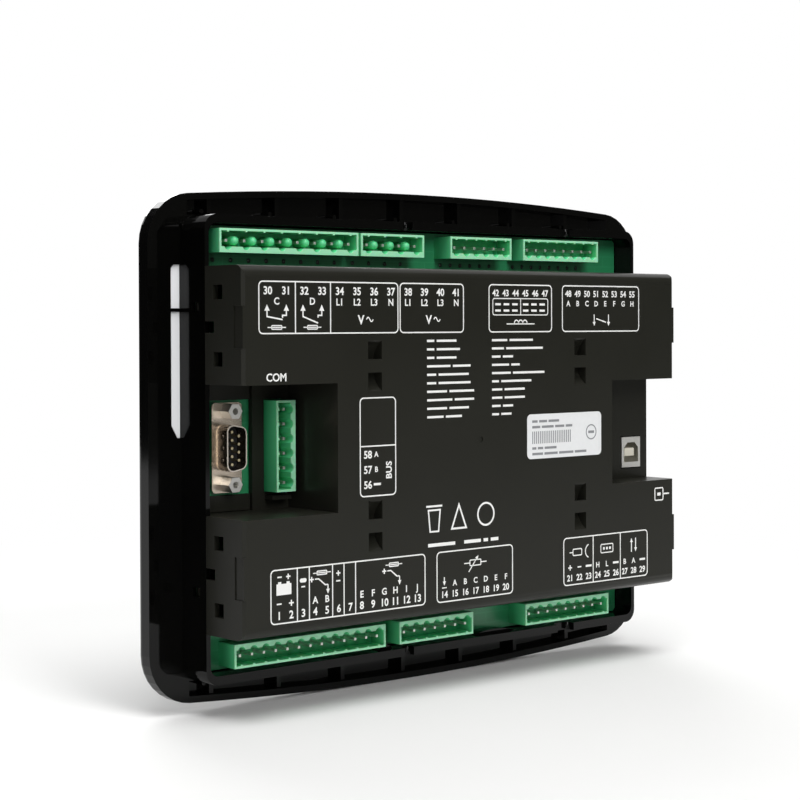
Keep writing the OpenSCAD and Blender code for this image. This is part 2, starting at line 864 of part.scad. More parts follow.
// Header shroud: plain wall with small ribs, fluted wall with one round flute to a pin
module header_shroud(h) {
    l = header_l(h);
    floor_y = y_board + header_floor;
    mouth_y = y_board + header_h;
    wall_z = -header_w / 2 + flute_wall;
    rib_z = header_w / 2 - header_wall;
    color("#2E9E63")
        translate([h[3], 0, h[4]])
            rotate([0, h[5], 0])
                difference() {
                    block([-l / 2, y_board, -header_w / 2], [l / 2, mouth_y, header_w / 2]);
                    slab(floor_y, mouth_y + 1)
                        difference() {
                            union() {
                                translate([-l / 2 + header_wall, wall_z])
                                    square([l - 2 * header_wall, rib_z - wall_z]);
                                for (i = [0:h[1] - 1])
                                    translate([pin_x(h, i), wall_z - flute_d + flute_r])
                                        circle(r = flute_r, $fn = 24);
                            }
                            for (i = [0:h[1] - 1])
                                translate([pin_x(h, i) - 0.4, rib_z - 0.4])
                                    square([0.8, 1]);
                        }
                }
}

module header_pins() {
    color("#C9C6BC")
        for (h = HEADERS)
            translate([h[3], 0, h[4]])
                rotate([0, h[5], 0])
                    for (i = [0:h[1] - 1])
                        block(
                            [pin_x(h, i) - pin_w / 2, y_board + header_floor, -pin_w / 2],
                            [pin_x(h, i) + pin_w / 2, y_board + header_h - pin_below, pin_w / 2]
                        );
}

module dsub_shell() {
    color("#CFC9B8")
        translate([dsub_x, 0, 0]) {
            slab(dsub_flange_y, dsub_face_y)
                difference() {
                    round_rect(dsub_flange_w, dsub_flange_l, 1.5);
                    polygon(d_outline(sheet_t));
                    for (z = [-jack_pitch / 2, jack_pitch / 2])
                        translate([0, z])
                            circle(d = jack_thread_d + slip_gap);
                }
            slab(dsub_face_y - eps, dsub_face_y + dsub_shell_l)
                difference() {
                    polygon(d_outline(0));
                    polygon(d_outline(sheet_t));
                }
            for (i = [-1:1])
                translate([dsub_short / 2 - eps, dsub_face_y + dsub_shell_l / 2, i * dimple_pitch])
                    rotate([0, 90, 0])
                        cylinder(d = dimple_d, h = dimple_h, $fn = 24);
        }
}

module dsub_insulator() {
    color("#1A1A1B")
        translate([dsub_x, 0, 0]) {
            slab(y_board, dsub_flange_y)
                round_rect(dsub_flange_w - 2 * dsub_rise, dsub_body_l, 1);
            slab(dsub_flange_y - eps, dsub_face_y + 1)
                polygon(d_outline(sheet_t + 0.1));
        }
}

module dsub_pins() {
    color("#D8C68A")
        for (i = [0:8])
            disc(
                dsub_x + (i < 5 ? dsub_row : -dsub_row) / 2,
                (i < 5 ? i - 2 : i - 6.5) * dsub_pitch,
                1,
                dsub_face_y + 1,
                dsub_face_y + dsub_shell_l - 0.9
            );
}

// Jack screws: a tapped hexagon on the flange and a shank through it to the board
module jack_screws() {
    color("#C8C5BC")
        for (z = [-jack_pitch / 2, jack_pitch / 2])
            difference() {
                union() {
                    translate([dsub_x, dsub_face_y + jack_l, z])
                        rotate([90, 0, 0])
                            cylinder(d = jack_hex / cos(30), h = jack_l, $fn = 6);
                    disc(dsub_x, z, jack_thread_d, y_board, dsub_face_y + eps);
                }
                disc(dsub_x, z, jack_bore_d, dsub_face_y + sheet_t, dsub_face_y + jack_l + 1);
            }
}

// Outline of the service port opening, with two corners cut
module usb_opening() {
    w = usb_open_w / 2;
    h = usb_open_h / 2;
    cut = w / 2;
    polygon([[-w, -h], [w, -h], [w, h - cut], [w - cut, h], [cut - w, h], [-w, h - cut]]);
}

// Shell of the service port: a can folded from sheet, shut at the board and open at its mouth
module usb_shell() {
    color("#D2CCBE")
        translate([usb_x, 0, usb_z])
            difference() {
                slab(y_board, usb_mouth_y)
                    square([usb_w, usb_h], center = true);
                slab(y_board + sheet_t, usb_mouth_y - sheet_t)
                    square([usb_w - 2 * sheet_t, usb_h - 2 * sheet_t], center = true);
                slab(usb_mouth_y - 2 * sheet_t, usb_mouth_y + 1)
                    usb_opening();
            }
}

module usb_insulator() {
    color("#ECE8DC")
        translate([usb_x, 0, usb_z]) {
            slab(y_board + sheet_t, usb_mouth_y - usb_depth)
                square([usb_w - 2 * sheet_t - 0.2, usb_h - 2 * sheet_t - 0.2], center = true);
            slab(usb_mouth_y - usb_depth - eps, usb_mouth_y - 2 * sheet_t)
                square([usb_tongue_w, usb_tongue_h], center = true);
        }
}

// Parts on the main board that the closed cover hides
module relays() {
    color("#20242A")
        for (i = [0:3])
            translate([(i - 2.5) * relay_pitch, y_board, -inner_z])
                cube([relay_w, relay_h, relay_l]);
}

module capacitors() {
    color("#26292B")
        for (i = [2, 3])
            disc(
                i * (capacitor_d + 4),
                capacitor_d / 2 - inner_z,
                capacitor_d,
                y_board,
                y_board + capacitor_h
            );
}

module current_transformers() {
    color("#22252A")
        for (i = [-2:0])
            translate([i * transformer_pitch, y_board, inner_z - transformer_l])
                cube([transformer_w, transformer_h, transformer_l]);
}

module processor() {
    color("#17181A")
        translate([processor_w / 2, y_board, -processor_w / 2])
            cube([processor_w, processor_h, processor_w]);
}

// Cover: profile of the long housing with round rear edges, drawn in by inset
module cover_profile(inset) {
    half = cover_h / 2 - inset;
    rear = cover_d - inset;
    r = cover_r - inset;
    translate([box_d, -half])
        square([rear - r - box_d, 2 * half]);
    translate([box_d, -half + r])
        square([rear - box_d, 2 * (half - r)]);
    for (z = [-1, 1])
        translate([rear - r, z * (half - r)])
            circle(r = r);
}

// Cover: the walls of both end recesses, still filled
module recess_walls() {
    x0 = serial_recess_x - cover_t;
    zs = serial_recess_half + cover_t;
    block([x0, cover_foot_y, -zs], [cover_in_x, box_d + eps, zs]);
    block([x0, box_d, -zs], [box_w / 2, cover_d - cover_r / 2, zs]);
    zu = usb_recess_half + cover_t;
    block(
        [-box_w / 2, usb_floor_y - cover_t, -zu],
        [usb_recess_x + cover_t, cover_d - cover_r / 2, zu]
    );
}

// Cover: space of both end recesses, with the openings for the ports
module recess_spaces() {
    zs = serial_recess_half;
    floor_y = cover_foot_y + cover_t;
    block([serial_recess_x, floor_y, -zs], [box_w, 2 * cover_d, zs]);
    block([serial_well_x, cover_foot_y - 1, -zs], [box_w, floor_y + 1, zs]);
    hx = header_w / 2 + cover_gap;
    hz = header_l(SERIAL_HEADER) / 2 + cover_gap;
    block([SERIAL_HEADER[3] - hx, cover_foot_y - 1, -hz], [SERIAL_HEADER[3] + hx, floor_y + 1, hz]);
    block([-box_w, usb_floor_y, -usb_recess_half], [usb_recess_x, 2 * cover_d, usb_recess_half]);
    block(
        [usb_x - usb_w / 2 - cover_gap, usb_floor_y - cover_t - 1, usb_z - usb_h / 2 - cover_gap],
        [usb_x + usb_w / 2 + cover_gap, usb_floor_y + 1, usb_z + usb_h / 2 + cover_gap]
    );
}

// Cover: arched tunnel that a cable tie threads through, under a bar
module tie_tunnel(x, z) {
    r = (tie_l * tie_l / 4 + tie_d * tie_d) / (2 * tie_d);
    difference() {
        run_x(x - tie_w / 2, x + tie_w / 2)
            translate([cover_d + r - tie_d, z])
                circle(r = r);
        block(
            [x - tie_w, cover_d - tie_bar_t, z - tie_bar_w / 2],
            [x + tie_w, cover_d + eps, z + tie_bar_w / 2]
        );
    }
}

// Cover: slots in both sides that the panel clips hook into
module clip_slots() {
    for (z = [clip_z[0], clip_z[2], -clip_z[0], -clip_z[2]], s = [-1, 1])
        translate([s * box_w / 2, clip_slot_y + clip_slot_d / 2, z])
            cube([4 * cover_t, clip_slot_d, clip_slot_h], center = true);
    for (z = [clip_z[1], -clip_z[1]], s = [-1, 1])
        translate([s * box_w / 2, box_d + clip_slot_d / 2 - 0.5, z])
            cube([4 * cover_t, clip_slot_d + 1, clip_notch_h], center = true);
}

// Cover: bevels on the upright rear edges, broken by the flats that the panel clips lie on
module edge_bevels() {
    low = clip_z[1] - clip_flat_h / 2;
    high = clip_z[1] + clip_flat_h / 2;
    for (s = [0, 1], z = [[-cover_h, -high], [-low, low], [high, cover_h]])
        mirror([s, 0, 0])
            translate([box_w / 2, cover_d, z[0]])
                linear_extrude(height = z[1] - z[0])
                    rotate(45)
                        square(edge_bevel * sqrt(2), center = true);
    for (z = [-1, 1], s = [-1, 1])
        translate([s * box_w / 2, cover_d - edge_bevel / 2 - clip_flat_d / 2, z * clip_z[1]])
            cube([2 * clip_flat_t, clip_flat_d, clip_flat_h], center = true);
}

// Cover: tongues inside the box sides, each with a hook in a window
module snap_hooks() {
    for (z = [-hook_z, hook_z], s = [0, 1])
        mirror([s, 0, 0]) {
            block(
                [cover_in_x - cover_t, cover_foot_y, z - hook_h / 2 - 2],
                [cover_in_x, box_d + cover_t, z + hook_h / 2 + 2]
            );
            block(
                [cover_in_x - cover_t, box_d, z - hook_h / 2 - 2],
                [box_w / 2 - cover_t / 2, box_d + cover_t, z + hook_h / 2 + 2]
            );
            translate([0, 0, z - hook_h / 2])
                linear_extrude(height = hook_h)
                    polygon([
                        [cover_in_x - eps, cover_foot_y + 2 * cover_gap],
                        [cover_in_x + cover_gap + box_side_t * 0.6, cover_foot_y + 2 * cover_gap + 2.6],
                        [cover_in_x + cover_gap + box_side_t * 0.6, cover_foot_y + 2 * cover_gap + 3.2],
                        [cover_in_x - eps, cover_foot_y + 2 * cover_gap + 3.2]
                    ]);
        }
}

module rear_cover() {
    shelf_z = header_l(SERIAL_HEADER) / 2 + 1.2;
    color("#262725")
        difference() {
            union() {
                difference() {
                    run_x(-box_w / 2, box_w / 2)
                        cover_profile(0);
                    run_x(-box_w / 2 + cover_t, box_w / 2 - cover_t)
                        cover_profile(cover_t);
                }
                for (z = [-1, 1])
                    translate([0, (cover_foot_y + box_d) / 2 + 1, z * (cover_h - cover_t) / 2])
                        cube([2 * cover_in_x, box_d - cover_foot_y + 2, cover_t], center = true);
                recess_walls();
                for (x = tie_x, z = [-tie_z, tie_z])
                    block(
                        [x - tie_w / 2 - 1.6, cover_d - tie_d - 1.6, z - tie_l / 2],
                        [x + tie_w / 2 + 1.6, cover_d - cover_t / 2, z + tie_l / 2]
                    );
                snap_hooks();
            }
            recess_spaces();
            for (x = tie_x, z = [-tie_z, tie_z])
                tie_tunnel(x, z);
            clip_slots();
            edge_bevels();
            disc(0, 0, gate_d, cover_d - gate_h, cover_d + 1);
        }
    color("#262725")
        block(
            [SERIAL_HEADER[3] - header_w / 2, cover_foot_y + cover_t - eps, -shelf_z - 1.6],
            [SERIAL_HEADER[3] + header_w / 2, cover_foot_y + 6.4, -shelf_z]
        );
}

module stuck_label() {
    color("#F1F1EF")
        slab(cover_d, cover_d + label_t)
            translate([label_x, 0])
                round_rect(label_w, label_h, 1.5);
}

front_fascia();
front_film();
display_window();
lcd_module();
label_window();
insert_card();
keypad_mat();
lamp_lenses();
display_board();
board_spacers();
board_screws();
board_link();
main_board();
header_pins();
dsub_shell();
dsub_insulator();
dsub_pins();
jack_screws();
usb_shell();
usb_insulator();
relays();
capacitors();
current_transformers();
processor();
rear_cover();
stuck_label();
for (k = KEYS) push_key(k);
for (h = HEADERS) header_shroud(h);
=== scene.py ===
import json
import math
import bmesh
import bpy
from mathutils import Matrix, Vector

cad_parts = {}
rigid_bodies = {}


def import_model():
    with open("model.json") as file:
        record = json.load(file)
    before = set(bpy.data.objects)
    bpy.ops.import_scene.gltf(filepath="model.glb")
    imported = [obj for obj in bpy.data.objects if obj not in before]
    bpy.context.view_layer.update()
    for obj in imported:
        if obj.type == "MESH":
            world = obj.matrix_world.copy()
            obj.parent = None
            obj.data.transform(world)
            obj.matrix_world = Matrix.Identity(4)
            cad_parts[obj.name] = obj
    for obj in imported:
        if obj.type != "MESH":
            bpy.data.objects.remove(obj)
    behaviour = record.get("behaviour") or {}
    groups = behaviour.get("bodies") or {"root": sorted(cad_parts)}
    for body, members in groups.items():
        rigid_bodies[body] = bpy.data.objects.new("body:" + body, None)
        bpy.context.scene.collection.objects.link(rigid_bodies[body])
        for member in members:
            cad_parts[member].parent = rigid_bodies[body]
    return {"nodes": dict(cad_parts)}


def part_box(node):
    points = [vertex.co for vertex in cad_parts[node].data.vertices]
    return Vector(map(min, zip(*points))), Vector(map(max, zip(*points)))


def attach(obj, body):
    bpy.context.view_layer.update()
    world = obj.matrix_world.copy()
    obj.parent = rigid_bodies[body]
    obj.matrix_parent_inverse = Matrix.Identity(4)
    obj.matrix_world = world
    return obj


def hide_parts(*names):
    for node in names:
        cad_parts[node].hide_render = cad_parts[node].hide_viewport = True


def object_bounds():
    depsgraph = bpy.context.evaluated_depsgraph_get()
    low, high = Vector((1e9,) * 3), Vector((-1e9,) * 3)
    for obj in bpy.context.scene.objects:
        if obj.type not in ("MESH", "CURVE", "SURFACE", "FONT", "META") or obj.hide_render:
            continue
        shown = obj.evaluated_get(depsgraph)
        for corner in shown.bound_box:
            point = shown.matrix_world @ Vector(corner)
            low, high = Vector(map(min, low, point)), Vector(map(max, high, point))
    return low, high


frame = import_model()
cad_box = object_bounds()


# Camera: it stands behind the controller, on the serial-port side, level with the middle.
# The picture is cropped, so the lens axis lies above the middle of the frame.
mm = 0.001
stage = bpy.context.collection.objects
camera_place = Vector((470.6, 532.4, 41.7)) * mm
camera_turn = math.radians(40.96)
camera_dip = math.radians(0.64)
camera_roll = math.radians(-0.21)
focal_pixels = 1892
axis_above_middle = 54
picture_pixels = 800
sensor_mm = 36

forward = Vector((
    -math.sin(camera_turn) * math.cos(camera_dip),
    -math.cos(camera_turn) * math.cos(camera_dip),
    -math.sin(camera_dip),
))
level_right = forward.cross(Vector((0, 0, 1))).normalized()
level_up = level_right.cross(forward)
camera_right = level_right * math.cos(camera_roll) + level_up * math.sin(camera_roll)
camera_axes = Matrix((camera_right, camera_right.cross(forward), -forward)).transposed()
camera_data = bpy.data.cameras.new("camera")
camera_data.sensor_width = sensor_mm
camera_data.lens = sensor_mm * focal_pixels / picture_pixels
camera_data.shift_y = -axis_above_middle / picture_pixels
camera_data.clip_start = 0.01
camera = bpy.data.objects.new("camera", camera_data)
camera.matrix_world = Matrix.Translation(camera_place) @ camera_axes.to_4x4()
stage.link(camera)
bpy.context.scene.camera = camera


# Studio: a white floor that runs out into the white background, three soft boxes, a strip that
# draws the upright edges, and a folding screen on the camera's side that keeps the black plastic
# from mirroring a white room. Floor and screen are matt painted board.
def linear(hex_colour):
    """An sRGB hex colour as linear red, green, blue and alpha."""
    parts = [int(hex_colour[i:i + 2], 16) / 255 for i in (1, 3, 5)]
    return tuple(c / 12.92 if c <= 0.04045 else ((c + 0.055) / 1.055) ** 2.4 for c in parts) + (1,)


def add(tree, kind, inputs, **settings):
    """A node of that kind: its inputs are values or the sockets that feed them."""
    node = tree.nodes.new(kind)
    for name, value in settings.items():
        setattr(node, name, value)
    for name, value in inputs.items():
        if isinstance(value, bpy.types.NodeSocket):
            tree.links.new(value, node.inputs[name])
        else:
            node.inputs[name].default_value = value
    return node


def material_tree(name):
    """A new material and its empty node tree."""
    material = bpy.data.materials.new(name)
    material.use_nodes = True
    material.node_tree.nodes.clear()
    return material, material.node_tree


ambient = 0.22
fade_from, fade_to = 0.14, 0.5
board_cloud_mm = 180


def surroundings(tree):
    """Strength of the white surroundings: full where seen or mirrored, less where they only light."""
    rays = add(tree, "ShaderNodeLightPath", {}).outputs
    mirrored = add(tree, "ShaderNodeMath", {0: rays["Is Glossy Ray"], 1: rays["Is Transmission Ray"]},
                   operation="ADD").outputs["Value"]
    seen = add(tree, "ShaderNodeMath", {0: rays["Is Camera Ray"], 1: mirrored},
               operation="ADD", use_clamp=True).outputs["Value"]
    strength = add(tree, "ShaderNodeMapRange", {"Value": seen, "To Min": ambient, "To Max": 1.0})
    return strength.outputs["Result"]


def painted_board(name, dark, light, fades=False):
    """Matt painted board, slightly cloudy; the floor's fades into the plain white background."""
    material, tree = material_tree(name)
    place = add(tree, "ShaderNodeTexCoord", {}).outputs["Object"]
    cloud = add(tree, "ShaderNodeTexNoise", {"Vector": place, "Scale": 1 / (board_cloud_mm * mm)})
    tone = add(tree, "ShaderNodeMixRGB", {
        "Fac": cloud.outputs["Fac"], "Color1": linear(dark), "Color2": linear(light)})
    surface = add(tree, "ShaderNodeBsdfPrincipled", {
        "Base Color": tone.outputs["Color"], "Roughness": 0.8, "IOR": 1.45}).outputs["BSDF"]
    if fades:
        away = add(tree, "ShaderNodeVectorMath", {0: place}, operation="LENGTH").outputs["Value"]
        fade = add(tree, "ShaderNodeMapRange", {
            "Value": away, "From Min": fade_from, "From Max": fade_to},
            interpolation_type="SMOOTHSTEP").outputs["Result"]
        white = add(tree, "ShaderNodeEmission", {
            "Color": linear("#FFFFFF"), "Strength": surroundings(tree)}).outputs["Emission"]
        surface = add(tree, "ShaderNodeMixShader", {0: fade, 1: surface, 2: white}).outputs["Shader"]
    add(tree, "ShaderNodeOutputMaterial", {"Surface": surface})
    return material


floor_half = 4.0
floor_mesh = bpy.data.meshes.new("floor")
floor_mesh.from_pydata(
    [(x * floor_half, y * floor_half, 0) for x, y in ((-1, -1), (1, -1), (1, 1), (-1, 1))],
    [], [(0, 1, 2, 3)])
floor_mesh.materials.append(painted_board("white_board", "#F4F4F3", "#FAFAF9", fades=True))
floor = bpy.data.objects.new("floor", floor_mesh)
floor.location.z = cad_box[0][2]
stage.link(floor)

screen_feet = ((0.2, -1.6), (1.8, 0.0), (1.8, 1.0), (0.7, 2.1), (-1.6, -0.2))
screen_top = 1.2
screen_mesh = bpy.data.meshes.new("folding_screen")
screen_mesh.from_pydata(
    [(x, y, z) for x, y in screen_feet for z in (cad_box[0][2], screen_top)],
    [], [(2 * i, 2 * i + 2, 2 * i + 3, 2 * i + 1) for i in range(len(screen_feet) - 1)])
screen_mesh.materials.append(painted_board("black_board", "#101010", "#141414"))
screen_mesh.materials.append(painted_board("grey_board", "#60605C", "#686864"))
for panel in screen_mesh.polygons[1:]:
    panel.material_index = 1
screen = bpy.data.objects.new("folding_screen", screen_mesh)
screen.visible_camera = False
stage.link(screen)

world = bpy.data.worlds.new("studio")
world.use_nodes = True
world.node_tree.nodes.clear()
sky = add(world.node_tree, "ShaderNodeBackground",
          {"Color": linear("#FFFFFF"), "Strength": surroundings(world.node_tree)})
add(world.node_tree, "ShaderNodeOutputWorld", {"Surface": sky.outputs["Background"]})
bpy.context.scene.world = world
bpy.context.scene.view_settings.view_transform = "Standard"

for name, place, width, height, power in (
        ("overhead_box", (0.2, 0.45, 1.15), 0.9, 0.7, 11.5),
        ("camera_side_box", (0.2, 1.3, 0.75), 0.6, 0.6, 9.5),
        ("edge_strip", (1.2, 1.15, 0.1), 0.12, 1.1, 4),
        ("front_box", (-0.5, -1.1, 0.7), 1.0, 0.8, 11)):
    box_light = bpy.data.lights.new(name, "AREA")
    box_light.shape = "RECTANGLE"
    box_light.size = width
    box_light.size_y = height
    box_light.energy = power
    soft_box = bpy.data.objects.new(name, box_light)
    soft_box.location = place
    soft_box.rotation_euler = (-Vector(place)).to_track_quat("-Z", "Y").to_euler()
    stage.link(soft_box)


# Fascia: the front moulding and the box that passes through the panel, in one shot of
# black ABS from a polished tool. Its gloss mirrors the card and the studio faintly.
def moulded(name, dark, light, rough, ior, specular=0.5, blotch_mm=8.0, skin_mm=0.6,
            skin_height=0.01, skin=0.3, **extra):
    """A moulded plastic or rubber: slight cloudiness of colour and gloss, and the skin of its tool."""
    material, tree = material_tree(name)
    place = add(tree, "ShaderNodeTexCoord", {}).outputs["Object"]
    blotch = add(tree, "ShaderNodeTexNoise",
                 {"Vector": place, "Scale": 1 / (blotch_mm * mm), "Detail": 3.0}).outputs["Fac"]
    tone = add(tree, "ShaderNodeMixRGB", {
        "Fac": blotch, "Color1": linear(dark), "Color2": linear(light)})
    gloss = add(tree, "ShaderNodeMapRange", {
        "Value": blotch, "From Min": 0.3, "From Max": 0.7,
        "To Min": rough * 0.88, "To Max": rough * 1.12})
    grit = add(tree, "ShaderNodeTexNoise",
               {"Vector": place, "Scale": 1 / (skin_mm * mm), "Detail": 4.0}).outputs["Fac"]
    bump = add(tree, "ShaderNodeBump", {"Height": grit, "Distance": skin_height * mm, "Strength": skin})
    shader = add(tree, "ShaderNodeBsdfPrincipled", {
        "Base Color": tone.outputs["Color"], "Roughness": gloss.outputs["Result"],
        "Normal": bump.outputs["Normal"], "IOR": ior, "Specular IOR Level": specular, **extra})
    add(tree, "ShaderNodeOutputMaterial", {"Surface": shader.outputs["BSDF"]})
    return material


def dress(name, material, edge_mm=0.0):
    """Gives a CAD node its material and, where a tool leaves one, a small radius on its edges."""
    piece = frame["nodes"][name]
    piece.data.materials.clear()
    piece.data.materials.append(material)
    if edge_mm:
        weld = piece.modifiers.new("weld", "WELD")
        weld.merge_threshold = 0.002 * mm
        edge = piece.modifiers.new("edge_radius", "BEVEL")
        edge.width = edge_mm * mm
        edge.segments = 2
        edge.limit_method = "ANGLE"
        edge.angle_limit = math.radians(40)
        edge.harden_normals = True


# Polished ABS: deep black, mirror-like at a glance, faint orange peel 2 mm across.
polished_abs = moulded("polished_abs", "#040404", "#070706", 0.08, 1.53, specular=0.18, blotch_mm=30.0,
                       skin_mm=2.0, skin=0.15)
dress("front_fascia", polished_abs, 0.3)


# Front film: polyester sheet, printed on its back and stuck into the recess of the fascia.
# The print shows the supply diagram, a frame around the display and one around the arrow keys.
# Polyester film: silky dark grey; the emboss is drawn 0.4 mm wide, coarser than real, to show.
polyester_film = moulded("polyester_film", "#24272A", "#2B2E31", 0.45, 1.64, specular=0.3,
                         blotch_mm=60.0, skin_mm=0.4, skin_height=0.02, skin=0.4)
dress("front_film", polyester_film)


def line(points, width, closed=False):
    """The faces of a stroke of even width along the points, mitred at its corners."""
    path = [Vector(p) for p in points]
    count = len(path)
    sides = []
    for i, p in enumerate(path):
        before = path[i - 1] if closed or i else None
        after = path[(i + 1) % count] if closed or i < count - 1 else None
        ahead = (after - p).normalized() if after else (p - before).normalized()
        behind = (p - before).normalized() if before else ahead
        across = Vector((-ahead.y - behind.y, ahead.x + behind.x)).normalized()
        reach = width / 2 / max(0.4, across.dot(Vector((-ahead.y, ahead.x))))
        sides.append((p - across * reach, p + across * reach))
    following = sides[1:] + sides[:1] if closed else sides[1:]
    return [[right, next_right, next_left, left]
            for (right, left), (next_right, next_left) in zip(sides, following)]


def arc(u, v, r, start, end, steps=8):
    """Points on an arc about (u, v), from start to end in degrees."""
    turns = [math.radians(start + (end - start) * i / steps) for i in range(steps + 1)]
    return [(u + r * math.cos(t), v + r * math.sin(t)) for t in turns]


def rounded(u0, v0, u1, v1, r):
    """Points around a rectangle with round corners."""
    return (arc(u1 - r, v1 - r, r, 0, 90, 4) + arc(u0 + r, v1 - r, r, 90, 180, 4)
            + arc(u0 + r, v0 + r, r, 180, 270, 4) + arc(u1 - r, v0 + r, r, 270, 360, 4))


def frame_line(u0, v0, u1, v1, r, width):
    """The stroke around a rectangle with round corners."""
    return line(rounded(u0, v0, u1, v1, r), width, closed=True)


def ring(u, v, r, width):
    """The stroke of a circle."""
    return line(arc(u, v, r, 0, 352.5, 47), width, closed=True)


def bar(u0, v0, u1, v1):
    """A filled rectangle."""
    return [[(u0, v0), (u1, v0), (u1, v1), (u0, v1)]]


def arrow(u, v, length, width, head, turn):
    """A stroke from (u, v) with a filled head at its far end; turn 90 points up."""
    way = Vector((math.cos(math.radians(turn)), math.sin(math.radians(turn))))
    across = Vector((-way.y, way.x))
    neck = Vector((u, v)) + way * (length - head)
    tip = Vector((u, v)) + way * length
    return line([(u, v), neck], width) + [[neck - across * head / 2, tip, neck + across * head / 2]]


def wave(u, v, length, height, steps, width):
    """The stroke of one whole wave that starts at (u, v)."""
    return line([(u + length * i / steps, v + height * math.sin(2 * math.pi * i / steps))
                 for i in range(steps + 1)], width)


def letters(text, cap, u, v, turn=0):
    """Faces of plain sans letters or figures with that cap height, centred on (u, v)."""
    curve = bpy.data.curves.new("letters", "FONT")
    curve.body = text
    curve.align_x = "CENTER"
    curve.offset = 0.024
    curve.resolution_u = 3
    holder = bpy.data.objects.new("letters", curve)
    stage.link(holder)
    bpy.context.view_layer.update()
    depsgraph = bpy.context.evaluated_depsgraph_get()
    shape = bpy.data.meshes.new_from_object(holder.evaluated_get(depsgraph))
    font_cap = 0.73
    scale = cap / font_cap
    spin = Matrix.Rotation(math.radians(turn), 2)
    centre = Vector((u, v))
    corners = [spin @ Vector((p.co.x * scale, p.co.y * scale - cap / 2)) + centre
               for p in shape.vertices]
    faces = [[corners[i] for i in face.vertices] for face in shape.polygons]
    bpy.data.objects.remove(holder)
    bpy.data.curves.remove(curve)
    bpy.data.meshes.remove(shape)
    return faces


def new_piece(name, shape, material, body):
    """A piece of that shape and material, which rides on the body."""
    mesh = bpy.data.meshes.new(name)
    shape.to_mesh(mesh)
    shape.free()
    mesh.materials.append(material)
    piece = bpy.data.objects.new(name, mesh)
    stage.link(piece)
    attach(piece, body)
    return piece


ink_mm = 0.03
ink_lift = 0.01


def printed(name, faces, place, material, body):
    """A print: the faces, laid where place(u, v) says and as thick as ink, ride on the body."""
    ink = bmesh.new()
    for face in faces:
        ink.faces.new([ink.verts.new(Vector(place(*p)) * mm) for p in face])
    bmesh.ops.remove_doubles(ink, verts=ink.verts, dist=0.001 * mm)
    coat = new_piece(name, ink, material, body).modifiers.new("coat", "SOLIDIFY")
    coat.thickness = ink_mm * mm
    coat.offset = 1


def middle(name):
    """The middle of a CAD node across the front, as x and z in mm."""
    low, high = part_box(name)
    return (low[0] + high[0]) / 2 / mm, (low[2] + high[2]) / 2 / mm


def on_film(u, v):
    """A place on the film, seen from the front."""
    return u, film_y - ink_lift, v


def screen_ink(name, dark, light):
    """Screen ink: opaque and matt, slightly uneven where the screen's mesh, 0.2 mm, left its mark."""
    return moulded(name, dark, light, 0.6, 1.5, specular=0.4, blotch_mm=2.0, skin_mm=0.2,
                   skin_height=0.005)


pale_ink = screen_ink("screen_ink_pale", "#B9BDBE", "#C6CACB")
film_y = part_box("front_film")[0][1] / mm
view_low, view_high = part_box("display_window")
pad_x, pad_z = middle("key_accept")
arrow_reach = pad_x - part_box("key_left")[0][0] / mm
mains_x, diagram_z = middle("key_mains")
frame_gap, frame_corner, fine_width, wire_width = 2.2, 2, 0.6, 0.8
breaker_r, lamp_gap, wire_end, sign_away, sign_r = 6.4, 4, 5.7, 10, 4.2
wave_length, wave_height, sign_cap = 4.8, 1.5, 4
film_marks = frame_line(view_low[0] / mm - frame_gap, view_low[2] / mm - frame_gap,
                        view_high[0] / mm + frame_gap, view_high[2] / mm + frame_gap,
                        frame_corner, fine_width)
film_marks += ring(pad_x, pad_z, arrow_reach + frame_gap, fine_width)
for supply_x in (mains_x, -mains_x):
    side = math.copysign(1, supply_x)
    lamp_x = 2 * supply_x
    sign_x = lamp_x + side * sign_away
    for start, end in ((side * lamp_gap, supply_x - side * breaker_r),
                       (supply_x + side * breaker_r, lamp_x - side * lamp_gap),
                       (lamp_x + side * lamp_gap, lamp_x + side * wire_end)):
        film_marks += line([(start, diagram_z), (end, diagram_z)], wire_width)
    film_marks += ring(sign_x, diagram_z, sign_r, fine_width)
    if supply_x == mains_x:
        film_marks += wave(sign_x - wave_length / 2, diagram_z, wave_length, wave_height, 12, fine_width)
    else:
        film_marks += letters("G", sign_cap, sign_x, diagram_z)
printed("film_print", film_marks, on_film, pale_ink, "case")


# Display: a clear acrylic window, and behind it the liquid crystal module with its
# grey-green reflector and the fine grid between its picture cells.
def cast_acrylic():
    """Cast acrylic: water clear and polished, with a trace of haze."""
    material, tree = material_tree("cast_acrylic")
    place = add(tree, "ShaderNodeTexCoord", {}).outputs["Object"]
    trace = add(tree, "ShaderNodeTexNoise", {"Vector": place, "Scale": 1 / (12 * mm)}).outputs["Fac"]
    haze = add(tree, "ShaderNodeMapRange", {"Value": trace, "To Min": 0.02, "To Max": 0.06})
    shader = add(tree, "ShaderNodeBsdfPrincipled", {
        "Base Color": linear("#EEF3F3"), "Roughness": haze.outputs["Result"], "IOR": 1.49,
        "Transmission Weight": 1.0})
    add(tree, "ShaderNodeOutputMaterial", {"Surface": shader.outputs["BSDF"]})
    return material


